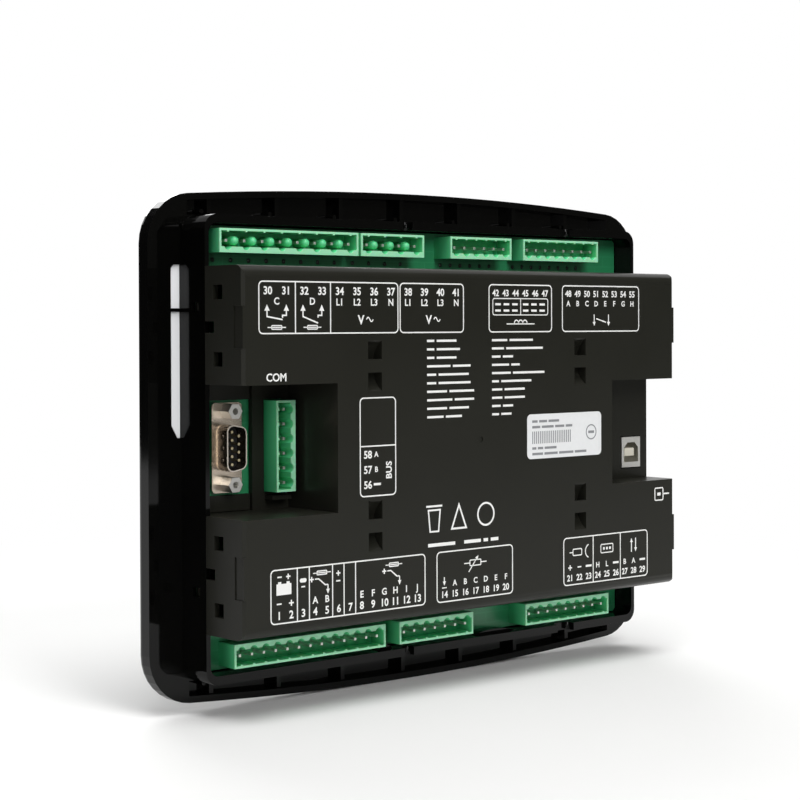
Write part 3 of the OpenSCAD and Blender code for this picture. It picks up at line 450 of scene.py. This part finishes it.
def display_glass():
    """Liquid crystal glass: grey-green, in cells 0.7 mm wide with thin darker lines between them."""
    material, tree = material_tree("display_glass")
    place = add(tree, "ShaderNodeTexCoord", {}).outputs["Object"]
    axes = add(tree, "ShaderNodeSeparateXYZ", {"Vector": place}).outputs
    plane = add(tree, "ShaderNodeCombineXYZ", {"X": axes["X"], "Y": axes["Z"]}).outputs["Vector"]
    cells = add(tree, "ShaderNodeTexBrick", {
        "Vector": plane, "Scale": 1 / (0.7 * mm),
        "Color1": linear("#7E8C74"), "Color2": linear("#88967D"), "Mortar": linear("#6B7763"),
        "Mortar Size": 0.06, "Brick Width": 1.0, "Row Height": 1.0}, offset=0.0)
    shader = add(tree, "ShaderNodeBsdfPrincipled", {
        "Base Color": cells.outputs["Color"], "Roughness": 0.25, "IOR": 1.52})
    add(tree, "ShaderNodeOutputMaterial", {"Surface": shader.outputs["BSDF"]})
    return material


acrylic = cast_acrylic()
dress("display_window", acrylic, 0.2)
dress("lcd_module", display_glass())


# Label strip: an acrylic window with a white card behind it. The card slides in from the
# side, and its end shows behind through two windows beside the box.
# Uncoated card: bright white and matt, with a felt of fibres drawn 0.6 mm long.
white_card = moulded("uncoated_card", "#F6F8FA", "#FCFDFE", 0.75, 1.47, specular=0.3, blotch_mm=0.6)
dress("label_window", acrylic, 0.2)
dress("insert_card", white_card)


# Keys: silicone caps that pass through the fascia, each on a dome of the mat behind.
# The grey ones are neutral, stop is red and start is green; each has a printed sign.
# Silicone rubber: soft and matt, with a dusty skin.
grey_silicone = moulded("silicone_grey", "#B4B8B8", "#C0C4C4", 0.55, 1.41, skin_mm=0.5)
red_silicone = moulded("silicone_red", "#A81712", "#B82019", 0.55, 1.41, skin_mm=0.5)
green_silicone = moulded("silicone_green", "#14793A", "#1A8A45", 0.55, 1.41, skin_mm=0.5)
dark_silicone = moulded("silicone_dark", "#3A3E41", "#44494C", 0.55, 1.41, skin_mm=0.5)
dark_ink = screen_ink("screen_ink_dark", "#1A1B1D", "#222427")
white_ink = screen_ink("screen_ink_white", "#ECECEA", "#F3F3F1")


def triangle(size, turn):
    """A filled triangle about the middle that points along turn."""
    return [arc(0, 0, size, turn, turn + 240, 2)]


def in_dish(name):
    """How a sign lies in the dish of that key's cap."""
    x, z = middle(name)
    low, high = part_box(name)
    flange, rim, dish_depth = 1.0, 1.4, 0.3
    dish_r = (high[0] - low[0]) / 2 / mm - flange - rim
    rim_y = low[1] / mm - ink_lift / 2
    return lambda u, v: (
        x + u, rim_y + dish_depth * (1 - min(1.0, math.hypot(u, v) / dish_r)), z + v)


arrow_size, letter_cap = 2.4, 5.2
breaker = line([(-2.4, -1), (-0.6, -1), (1.5, 1.4)], 0.6) + line([(1.2, -1), (2.6, -1)], 0.6)
palm = bar(-2.4, -2.8, 2.4, -1.0)
fingers = [face for i in range(4) for face in bar(-2.4 + i * 1.3, -0.8, -1.5 + i * 1.3, 2.6)]
speaker = [[(-2.8, -1), (-1.4, -1), (0.4, -2.6), (0.4, 2.6), (-1.4, 1), (-2.8, 1)]]
key_signs = {
    "key_up": triangle(arrow_size, 90),
    "key_down": triangle(arrow_size, 270),
    "key_left": triangle(arrow_size, 180),
    "key_right": triangle(arrow_size, 0),
    "key_accept": line([(-2.2, 0.2), (-0.6, -1.6), (2.4, 2.0)], 0.9),
    "key_mains": breaker,
    "key_generator": breaker,
    "key_stop": ring(0, 0, 3.2, 0.9),
    "key_manual": palm + fingers,
    "key_test": letters("T", letter_cap, 0, 0),
    "key_auto": letters("A", letter_cap, 0, 0),
    "key_mute": speaker + line(arc(0.6, 0, 2.4, -45, 45, 6), 0.6),
    "key_start": bar(-0.5, -3.2, 0.5, 3.2),
}
key_colours = {"key_stop": red_silicone, "key_start": green_silicone}
for name, sign in key_signs.items():
    dress(name, key_colours.get(name, grey_silicone), 0.2)
    sign_ink = white_ink if name in key_colours else dark_ink
    printed(name.replace("key", "sign"), sign, in_dish(name), sign_ink, name)
dress("keypad_mat", dark_silicone, 0.15)


# Lamps: small light pipes, moulded in dyed acrylic and pressed into holes of the fascia, so
# that each ends in the film.
# Dyed acrylic: clear red, polished, deeper where it is thick.
red_acrylic = moulded("dyed_acrylic", "#8E1C16", "#A8241C", 0.12, 1.49, blotch_mm=3.0, skin_mm=2.0,
                      skin=0.1, **{"Transmission Weight": 0.35})
dress("lamp_lenses", red_acrylic, 0.15)


# Circuit boards: glass-fibre laminate under green solder resist. Copper tracks show through
# the resist as slightly lighter lines. Screws and spacers are zinc-plated steel.
pitch = 5.08


def solder_resist():
    """Green solder resist over copper: semi-gloss, with tracks 0.5 mm wide at header spacing."""
    material, tree = material_tree("solder_resist")
    place = add(tree, "ShaderNodeTexCoord", {}).outputs["Object"]
    axes = add(tree, "ShaderNodeSeparateXYZ", {"Vector": place}).outputs
    plane = add(tree, "ShaderNodeCombineXYZ", {"X": axes["X"], "Y": axes["Z"]}).outputs["Vector"]
    tracks = add(tree, "ShaderNodeTexBrick", {
        "Vector": plane, "Scale": 1 / (pitch * mm),
        "Color1": linear("#2A8C5A"), "Color2": linear("#2D8F5D"), "Mortar": linear("#379A69"),
        "Mortar Size": 0.05, "Brick Width": 2.6, "Row Height": 0.8}, offset=0.35)
    cloud = add(tree, "ShaderNodeTexNoise", {"Vector": place, "Scale": 1 / (14 * mm)}).outputs["Fac"]
    tone = add(tree, "ShaderNodeMixRGB",
               {"Fac": cloud, "Color1": tracks.outputs["Color"], "Color2": linear("#2B8D5B")})
    shader = add(tree, "ShaderNodeBsdfPrincipled", {
        "Base Color": tone.outputs["Color"], "Roughness": 0.3, "IOR": 1.55})
    add(tree, "ShaderNodeOutputMaterial", {"Surface": shader.outputs["BSDF"]})
    return material


plating_cloud_mm, draw_mark_mm = 2.5, 0.5


def plated(name, dark, light, rough):
    """Plated metal: bright, slightly cloudy, with the fine marks of drawing or pressing."""
    material, tree = material_tree(name)
    place = add(tree, "ShaderNodeTexCoord", {}).outputs["Object"]
    cloud = add(tree, "ShaderNodeTexNoise",
                {"Vector": place, "Scale": 1 / (plating_cloud_mm * mm), "Detail": 3.0}).outputs["Fac"]
    tone = add(tree, "ShaderNodeMixRGB", {
        "Fac": cloud, "Color1": linear(dark), "Color2": linear(light)})
    marks = add(tree, "ShaderNodeTexNoise", {"Vector": place, "Scale": 1 / (draw_mark_mm * mm)})
    gloss = add(tree, "ShaderNodeMapRange", {
        "Value": marks.outputs["Fac"], "To Min": rough * 0.9, "To Max": rough * 1.1})
    shader = add(tree, "ShaderNodeBsdfPrincipled", {
        "Base Color": tone.outputs["Color"], "Roughness": gloss.outputs["Result"], "Metallic": 1.0})
    add(tree, "ShaderNodeOutputMaterial", {"Surface": shader.outputs["BSDF"]})
    return material


# Zinc plate: cool grey, fairly bright. Bright tin: nearly white, soft.
resist = solder_resist()
zinc_plate = plated("zinc_plate", "#B4B1A9", "#CBC8C0", 0.3)
bright_tin = plated("bright_tin", "#DAD9D4", "#ECEBE7", 0.42)
dress("main_board", resist)
dress("display_board", resist)
dress("board_screws", zinc_plate, 0.15)
dress("board_spacers", zinc_plate, 0.15)


# Parts on the boards: relays, current transformers, a processor and the link connector are
# black moulded blocks, and the capacitors are cans in a dark sleeve. The cover hides them.
# Filled epoxy: matt black, slightly speckled. Sleeve: shrunk film, smooth, near black.
filled_epoxy = moulded("filled_epoxy", "#131314", "#1E1F21", 0.5, 1.55, specular=0.3, blotch_mm=0.9,
                       skin=0.4)
can_sleeve = moulded("can_sleeve", "#22252A", "#2C3036", 0.35, 1.53, blotch_mm=6.0, skin_mm=1.0,
                     skin=0.2)
for name in ("relays", "current_transformers", "processor", "board_link"):
    dress(name, filled_epoxy, 0.2)
dress("capacitors", can_sleeve, 0.4)


# Terminal headers: shrouds of green polyamide for plug-in screw terminals, open to the
# rear, with a flute beside each pin. The pins are tinned square wire, soldered beside them.
socket_floor = 6.6


def green_polyamide():
    """Dyed polyamide: satin, slightly translucent; a painted highlight on the thin rim, painted shade in
    the socket.
    """
    material, tree = material_tree("green_polyamide")
    place = add(tree, "ShaderNodeTexCoord", {}).outputs["Object"]
    depth = add(tree, "ShaderNodeSeparateXYZ", {"Vector": place}).outputs["Y"]
    wall_y, rim_y = 13.0 * mm, 13.7 * mm
    # Painted shade: the socket is darker towards its floor.
    socket_shade_ramp = add(tree, "ShaderNodeMapRange",
                  {"Value": depth, "From Min": socket_floor * mm, "From Max": wall_y})
    rim_highlight_ramp = add(tree, "ShaderNodeMapRange", {"Value": depth, "From Min": wall_y, "From Max": rim_y})
    blotch = add(tree, "ShaderNodeTexNoise",
                 {"Vector": place, "Scale": 1 / (5 * mm), "Detail": 3.0}).outputs["Fac"]
    dye = add(tree, "ShaderNodeMixRGB",
              {"Fac": blotch, "Color1": linear("#5CD892"), "Color2": linear("#68E19E")})
    wall = add(tree, "ShaderNodeMixRGB", {
        "Fac": socket_shade_ramp.outputs["Result"], "Color1": linear("#32A468"), "Color2": dye.outputs["Color"]})
    # Painted highlight: the thin rim is paler than the walls.
    tone = add(tree, "ShaderNodeMixRGB", {
        "Fac": rim_highlight_ramp.outputs["Result"], "Color1": wall.outputs["Color"], "Color2": linear("#A6F0C2")})
    shader = add(tree, "ShaderNodeBsdfPrincipled", {
        "Base Color": tone.outputs["Color"], "Roughness": 0.35, "IOR": 1.53,
        "Subsurface Weight": 0.15, "Subsurface Scale": 0.8 * mm})
    add(tree, "ShaderNodeOutputMaterial", {"Surface": shader.outputs["BSDF"]})
    return material


polyamide = green_polyamide()

# Each header's ways, their spacing in mm and its first number.
wide_pitch = 7.62
header_ways = {
    "header_volts": (8, wide_pitch, 30),
    "header_mains": (4, wide_pitch, 38),
    "header_currents": (6, pitch, 42),
    "header_inputs": (8, pitch, 48),
    "header_outputs": (13, pitch, 1),
    "header_senders": (7, pitch, 14),
    "header_bus": (9, pitch, 21),
}
for name in list(header_ways) + ["header_serial"]:
    dress(name, polyamide, 0.12)
dress("header_pins", bright_tin, 0.12)


def pin_places(name):
    """Each pin's number, and how far from the middle it stands to the right as seen from the rear."""
    ways, spacing, first = header_ways[name]
    return [(first + i, -middle(name)[0] + (i - (ways - 1) / 2) * spacing) for i in range(ways)]


def turned(name, places, profile, material):
    """Small round bodies, turned from a profile of radius and depth, that ride on the case."""
    shape = bmesh.new()
    for x, z in places:
        rings = [[shape.verts.new(Vector((u, y, v)) * mm) for u, v in arc(x, z, r, 0, 337.5, 15)]
                 for r, y in profile]
        shape.faces.new(rings[0])
        shape.faces.new(rings[-1])
        for lower, upper in zip(rings, rings[1:]):
            for i in range(len(lower)):
                shape.faces.new((lower[i], lower[i - 1], upper[i - 1], upper[i])).smooth = True
    bmesh.ops.recalc_face_normals(shape, faces=shape.faces)
    new_piece(name, shape, material, "case")


# Solder: dull grey, cloudy.
dull_solder = plated("dull_solder", "#5C6460", "#747B76", 0.5)
joint_gap = 2.2
board_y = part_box("main_board")[1][1] / mm
joint_places = []
for name in header_ways:
    low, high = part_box(name)
    joint_z = low[2] / mm - joint_gap if low[2] > 0 else high[2] / mm + joint_gap
    joint_places += [(-u, joint_z) for number, u in pin_places(name)]
joint_profile = ((0.85, board_y + 0.01), (0.53, board_y + 0.3), (0.1, board_y + 0.5))
turned("solder_joints", joint_places, joint_profile, dull_solder)

# The two headers with the wider spacing have a round post between each two pins.
post_places = [(-u - wide_pitch / 2, middle(name)[1])
               for name in ("header_volts", "header_mains") for number, u in pin_places(name)[:-1]]
post_profile = ((1.7, socket_floor), (1.6, 11.8), (1.35, 12.5), (0.85, 12.95), (0.2, 13.15))
turned("header_posts", post_places, post_profile, polyamide)


# Serial port: a nine-way plug with a pressed tin-plated shell, gold-plated pins in a black
# insulator and two jack screws. Service port: a square socket in a can of folded sheet.
def drawn_tin():
    """Tin plate on drawn steel: warm satin flange, painted shade on the drawn wall, painted highlight on
    the rim.
    """
    material, tree = material_tree("drawn_tin")
    place = add(tree, "ShaderNodeTexCoord", {}).outputs["Object"]
    depth = add(tree, "ShaderNodeSeparateXYZ", {"Vector": place}).outputs["Y"]
    low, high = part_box("dsub_shell")
    flange_y, wall_y = low[1] + 0.6 * mm, low[1] + 1.4 * mm
    rim_y, edge_y = high[1] - 0.5 * mm, high[1] - 0.1 * mm
    wall_shade_ramp = add(tree, "ShaderNodeMapRange",
                  {"Value": depth, "From Min": flange_y, "From Max": wall_y}).outputs["Result"]
    rim_highlight_ramp = add(tree, "ShaderNodeMapRange",
                 {"Value": depth, "From Min": rim_y, "From Max": edge_y}).outputs["Result"]
    cloud = add(tree, "ShaderNodeTexNoise",
                {"Vector": place, "Scale": 1 / (plating_cloud_mm * mm), "Detail": 3.0}).outputs["Fac"]
    satin = add(tree, "ShaderNodeMixRGB",
                {"Fac": cloud, "Color1": linear("#D9CAB7"), "Color2": linear("#EADCCB")})
    # Painted shade: the drawn wall is darker than flange and rim.
    shaded_wall_tone = add(tree, "ShaderNodeMixRGB", {
        "Fac": wall_shade_ramp, "Color1": satin.outputs["Color"], "Color2": linear("#7C7267")})
    # Painted highlight: the rim is paler.
    tone = add(tree, "ShaderNodeMixRGB", {
        "Fac": rim_highlight_ramp, "Color1": shaded_wall_tone.outputs["Color"], "Color2": linear("#EFE6DA")})
    gloss = add(tree, "ShaderNodeMapRange", {"Value": cloud, "To Min": 0.22, "To Max": 0.3})
    shader = add(tree, "ShaderNodeBsdfPrincipled", {
        "Base Color": tone.outputs["Color"], "Roughness": gloss.outputs["Result"], "Metallic": 1.0})
    add(tree, "ShaderNodeOutputMaterial", {"Surface": shader.outputs["BSDF"]})
    return material


# Gold plate: pale yellow and bright. Ivory thermoplastic: satin, warm white.
gold_plate = plated("gold_plate", "#D6C79E", "#E6DAB8", 0.22)
ivory_plastic = moulded("ivory_thermoplastic", "#DDD8C8", "#E8E3D4", 0.45, 1.5, blotch_mm=3.0,
                        skin_mm=0.5, skin_height=0.005)
dress("dsub_shell", drawn_tin(), 0.12)
dress("dsub_insulator", filled_epoxy, 0.1)
dress("dsub_pins", gold_plate, 0.2)
dress("jack_screws", bright_tin, 0.2)
dress("usb_shell", bright_tin, 0.12)
dress("usb_insulator", ivory_plastic, 0.15)


# Rear cover: a deep shell of black ABS from a spark-eroded tool. It snaps into the box by
# four hooks, and its face carries the terminal numbers and circuit signs in white ink.
# Spark-eroded ABS: satin near-black; its sand-like grain is drawn 0.5 mm wide to show.
eroded_abs = moulded("eroded_abs", "#1F1F1A", "#23231E", 0.32, 1.53, specular=0.16, blotch_mm=40.0,
                     skin_mm=0.5, skin_height=0.012, skin=0.4)
dress("rear_cover", eroded_abs, 0.25)


def plate(name, corners, back_y, face_y, material):
    """A flat plate with that outline between two depths, that rides on the case."""
    shape = bmesh.new()
    face, back = ([shape.verts.new(Vector((x, y, z)) * mm) for x, z in corners]
                  for y in (face_y, back_y))
    shape.faces.new(face)
    shape.faces.new(back[::-1])
    for i in range(len(corners)):
        shape.faces.new((face[i - 1], back[i - 1], back[i], face[i]))
    bmesh.ops.recalc_face_normals(shape, faces=shape.faces)
    return new_piece(name, shape, material, "case")


# A black plate of the cover's plastic lies over the board around the serial port on three sides.
flange_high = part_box("dsub_shell")[1]
lip_gap, lip_lift, lip_rise = 0.8, 0.1, 1.6
well_x, well_z, lip_x = 82.3, 21.9, 103.6
lip_in_x, lip_in_z = flange_high[0] / mm + lip_gap, flange_high[2] / mm + lip_gap
lip_outline = (
    (well_x, well_z), (well_x, lip_in_z), (lip_in_x, lip_in_z), (lip_in_x, -lip_in_z),
    (well_x, -lip_in_z), (well_x, -well_z), (lip_x, -well_z), (lip_x, well_z))
port_lip = plate("port_lip", lip_outline, board_y + lip_lift, board_y + lip_rise, eroded_abs)
lip_edge = port_lip.modifiers.new("edge_radius", "BEVEL")
lip_edge.width = 0.3 * mm
lip_edge.segments = 2


def on_cover(u, v):
    """A place on the rear face, seen from the rear."""
    return -u, cover_y + ink_lift, v


def fuse(u, v):
    """A fuse sign: a small box with a line through it."""
    box = frame_line(u - 2.1, v - 0.6, u + 2.1, v + 0.6, 0.3, 0.4)
    return box + line([(u - 3.8, v), (u + 3.8, v)], 0.35)


half_stroke = 0.25


def minus(u, v, size):
    """A minus sign."""
    return bar(u - size, v - half_stroke, u + size, v + half_stroke)


def plus(u, v, size):
    """A plus sign: a minus sign with an arm above and one below."""
    left, right = u - half_stroke, u + half_stroke
    return (minus(u, v, size) + bar(left, v + half_stroke, right, v + size)
            + bar(left, v - size, right, v - half_stroke))


def contact_up(u, v, open_by):
    """A contact between two arrows that point up."""
    left, right = u - 4.0, u + 4.0
    blade = line([(left, v + 2), (left, v), (right - 1.6, v - open_by)], 0.5)
    stop = line([(right - 1.6, v - 0.4), (right - 1.6, v + 0.4), (right, v + 0.4), (right, v + 2)], 0.5)
    heads = [[(x - 1.1, v + 1.9), (x + 1.1, v + 1.9), (x, v + 4.0)] for x in (left, right)]
    return blade + stop + heads


def contact_down(u, v):
    """A contact from a plus sign to an arrow that points down."""
    blade = line([(u - 3.0, v), (u - 1.4, v), (u + 1.4, v - 2.2), (u + 2.6, v - 2.2)], 0.45)
    return plus(u - 4.4, v, 0.9) + blade + arrow(u + 2.6, v - 2.2, 3.1, 0.45, 1.6, 270)


cover_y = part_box("rear_cover")[1][1] / mm
thin = 0.44
corner = 1.5
top_low, top_high = 39.0, 56.2
foot_low, foot_high = -57.0, -39.2
bus_left, bus_right = -56.6, -40.6
rear_marks = []
for u0, u1, v0, v1 in (
        (-99.5, -39.3, top_low, top_high), (-38.3, -8.2, top_low, top_high),
        (4.5, 36.8, top_low, top_high), (42.6, 85.3, top_low, top_high),
        (bus_left, bus_right, -17.2, 16.6), (-95.1, -27.1, foot_low, foot_high),
        (-21.4, 16.0, foot_low, foot_high), (43.0, 90.0, foot_low, foot_high)):
    rear_marks += frame_line(u0, v0, u1, v1, corner, thin)
for u, v0, v1 in (
        (-84.4, top_low, top_high), (-69.4, top_low, top_high), (-84.1, foot_low, foot_high),
        (-79.0, foot_low, foot_high), (-69.0, foot_low, foot_high), (-64.0, foot_low, foot_high),
        (-58.9, foot_low, foot_high), (59.1, foot_low, foot_high), (74.4, foot_low, foot_high)):
    rear_marks += line([(u, v0 + thin / 2), (u, v1 - thin / 2)], thin)
rear_marks += line([(bus_left + thin / 2, 0), (bus_right - thin / 2, 0)], thin)

# Terminal numbers stand over their pins, and most have a plain letter beside them.
terminal_letters = {
    "header_volts": ("", "", "", "", "L1", "L2", "L3", "N"),
    "header_mains": ("L1", "L2", "L3", "N"),
    "header_currents": ("", "", "", "", "", ""),
    "header_inputs": tuple("ABCDEFGH"),
    "header_outputs": ("-", "+", "", "A", "B", "", "", "E", "F", "G", "H", "I", "J"),
    "header_senders": ("", "A", "B", "C", "D", "E", "F"),
    "header_bus": ("+", "-", "", "H", "L", "", "B", "A", ""),
}
print_shift = {"header_volts": 0.8, "header_mains": 0.3}
large_cap, small_cap = 2.7, 2.4
for name, labels in terminal_letters.items():
    large = header_ways[name][1] == wide_pitch or name == "header_outputs"
    cap = large_cap if large else small_cap
    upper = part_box(name)[0][2] > 0
    number_v = top_high - 2.9 if upper else foot_low + 2.7
    letter_v = number_v - 3.7 if upper else number_v + 3.8
    for (number, u), label in zip(pin_places(name), labels):
        u += print_shift.get(name, 0)
        rear_marks += letters(str(number), cap, u, number_v)
        if label == "+":
            rear_marks += plus(u, letter_v, 1.0)
        elif label == "-":
            rear_marks += minus(u, letter_v, 1.0)
        elif label:
            rear_marks += letters(label, cap - 0.3, u, letter_v)

# Signs of the top boxes: two relay contacts with fuses, mains measurement, transformers, inputs.
for u, label, open_by in ((-92.2, "C", 1.0), (-77.2, "D", 2.2)):
    rear_marks += letters(label, small_cap, u, top_high - 6.4)
    rear_marks += contact_up(u, 44.6, open_by) + fuse(u, 41.0)
for u in (-54.4, -23.3):
    rear_marks += letters("V", 3.2, u - 1.6, 43.6) + wave(u + 0.8, 43.6, 3.0, 0.8, 6, 0.4)
rear_marks += frame_line(6.4, 45.2, 34.8, 51.2, 0.8, 0.35) + line([(20.6, 45.4), (20.6, 51.0)], 0.35)
for u in (7.6, 11.9, 16.2, 21.8, 26.1, 30.4):
    for v in (46.4, 48.7):
        rear_marks += bar(u, v, u + 2.8, v + 0.8)
rear_marks += line([(13.4, 41.9), (27.8, 41.9)], 0.4)
for u in (18.4, 20.6, 22.8):
    rear_marks += line(arc(u, 42.2, 1.1, 180, 0, 6), 0.45)
rear_marks += arrow(60.0, 45.4, 4.4, 0.45, 1.6, 270) + arrow(68.0, 45.4, 4.4, 0.45, 1.6, 270)
rear_marks += line([(61.2, 43.8), (66.6, 42.4)], 0.45)

# Signs of the bottom boxes: battery, outputs with fuses, variable resistor, pickup, data lines.
rear_marks += bar(-92.8, -47.6, -86.6, -43.9)
rear_marks += bar(-92.1, -43.9, -90.8, -43.2) + bar(-88.6, -43.9, -87.3, -43.2)
rear_marks += minus(-91.5, -41.6, 0.9) + plus(-87.9, -41.6, 0.9)
rear_marks += [rounded(-83.0, -44.2, -80.2, -42.8, 0.6)] + line([(-82.4, -45.6), (-80.8, -45.6)], 0.5)
rear_marks += fuse(-73.6, -41.6) + contact_down(-73.6, -43.6)
rear_marks += plus(-66.5, -42.4, 0.9) + minus(-66.5, -45.0, 0.9)
rear_marks += fuse(-41.6, -41.6) + contact_down(-41.6, -43.6)
rear_marks += line([(-8.2, -44.2), (-5.6, -44.2)], 0.4) + frame_line(-5.4, -45.2, 0.0, -43.2, 0.3, 0.4)
rear_marks += line([(0.2, -44.2), (2.8, -44.2)], 0.4) + arrow(-6.0, -47.4, 7.4, 0.4, 1.5, 50)
rear_marks += arrow(-17.9, -48.2, 3.0, 0.45, 1.5, 270) + line([(-19.0, -52.0), (-16.8, -52.0)], 0.4)
rear_marks += frame_line(48.0, -46.0, 52.8, -43.6, 0.5, 0.4) + line([(46.2, -44.8), (47.8, -44.8)], 0.4)
rear_marks += line(arc(57.4, -44.8, 2.6, 110, 250, 8), 0.45)
rear_marks += frame_line(63.4, -46.2, 70.2, -43.0, 0.5, 0.4)
for u in (64.6, 66.3, 68.0):
    rear_marks += bar(u, -45.1, u + 1.0, -44.1)
rear_marks += arrow(80.8, -47.2, 5.4, 0.5, 1.6, 90) + arrow(83.2, -41.8, 5.4, 0.5, 1.6, 270)
for u in (56.6, 71.8, 87.1):
    rear_marks += bar(u - 1.6, -50.9, u + 1.6, -50.1)


# The serial header's box, the port names, and two columns of plain bars.
def bar_row(u, v, lengths, scale, gap, height):
    """A row of plain bars of those lengths that starts at u."""
    row = []
    for length in lengths:
        row += bar(u, v - height / 2, u + length * scale, v + height / 2)
        u += length * scale + gap
    return row


for number, label, v in (("58", "A", -2.8), ("57", "B", -8.0), ("56", "", -13.2)):
    rear_marks += letters(number, large_cap, -53.2, v)
    if label:
        rear_marks += letters(label, 1.9, -49.4, v)
rear_marks += bar(-50.6, -13.6, -47.4, -12.8)
rear_marks += letters("BUS", 2.6, -43.8, -8.6, 90) + letters("COM", large_cap, -92.4, 24.6)
left_lengths = (
    (4, 11), (4, 13), (4, 11), (13, 10), (5, 17), (5, 18), (11, 14), (14, 11), (11, 11), (9, 9))
right_lengths = (
    (9, 14), (7, 22), (5, 6), (10, 5), (11, 19), (4, 18), (6, 12), (6, 12), (5, 6), (4, 6))
row_top, row_pitch = 36.0, 3.0
for column_u, column in ((-25.8, left_lengths), (5.9, right_lengths)):
    for i, lengths in enumerate(column):
        rear_marks += bar_row(column_u, row_top - i * row_pitch, lengths,
                              scale=0.86, gap=1.2, height=0.8)

# Below the bars stand three plain signs and a line, and a plain socket sign at the service port.
rear_marks += line([(-25.4, -24.0), (-24.6, -31.6), (-20.6, -31.6), (-19.8, -24.0)], 0.6, closed=True)
rear_marks += line([(-26.4, -22.6), (-18.8, -22.6)], 0.7)
rear_marks += line([(-14.2, -31.2), (-7.2, -31.2), (-10.7, -22.8)], 0.7, closed=True)
rear_marks += ring(2.6, -27.0, 4.0, 0.7)
for u0, u1 in ((-25.6, -12.6), (-8.2, 0.0), (1.4, 3.6), (5.0, 8.8)):
    rear_marks += bar(u0, -37.0, u1, -35.8)
rear_marks += frame_line(94.6, -28.0, 99.4, -23.2, 0.6, 0.5) + bar(96.0, -26.2, 98.0, -25.0)
rear_marks += line([(99.8, -25.6), (103.0, -25.6)], 0.6)
printed("rear_print", rear_marks, on_cover, white_ink, "case")


# Stuck label: white coated paper with round corners, held on the rear face by its adhesive back
# and printed in grey toner with rows of plain bars, a ring and a band of stripes.
# Coated paper: white and smooth, with a low gloss. Toner: mid grey, matt.
coated_paper = moulded("coated_paper", "#E3E4E5", "#EAEBEC", 0.55, 1.5, specular=0.25, blotch_mm=1.5,
                       skin_mm=0.8, skin_height=0.004)
toner = moulded("grey_toner", "#808285", "#8E9093", 0.5, 1.5, specular=0.4, blotch_mm=1.0, skin_mm=0.3,
                skin_height=0.004)
label_low, label_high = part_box("stuck_label")
label_x, label_z = middle("stuck_label")
label_half = (label_high[0] - label_low[0]) / 2 / mm
label_half_h = (label_high[2] - label_low[2]) / 2 / mm
label_corner = 1.8
paper_y = label_high[1] / mm - ink_mm - ink_lift


def on_label(u, v):
    """A place on the label's paper, from its middle, seen from the rear."""
    return label_x - u, paper_y, label_z + v


label_edge = rounded(-label_half, -label_half_h, label_half, label_half_h, label_corner)
label_paper = plate("label_paper", [(label_x - u, label_z + v) for u, v in label_edge],
                    label_low[1] / mm, paper_y, coated_paper)
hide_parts("stuck_label")
label_marks = ring(label_half - 5.6, 0.6, 2.7, 0.45)
label_marks += bar(label_half - 7.2, 0.1, label_half - 4.0, 1.1)
label_start = 2.6 - label_half
for v, lengths in (
        (5.6, (4, 6, 8)), (3.5, (6, 9, 7, 5)), (-4.4, (3, 4, 9)), (-6.5, (8, 10, 11, 9))):
    label_marks += bar_row(label_start, v, lengths, scale=0.7, gap=0.8, height=0.9)
stripes, stripe_width, stripe_low, stripe_high = 21, 0.45, -2.7, 1.9
for i in range(stripes):
    label_marks += bar(label_start + i, stripe_low, label_start + i + stripe_width, stripe_high)
printed("label_print", label_marks, on_label, toner, "case")
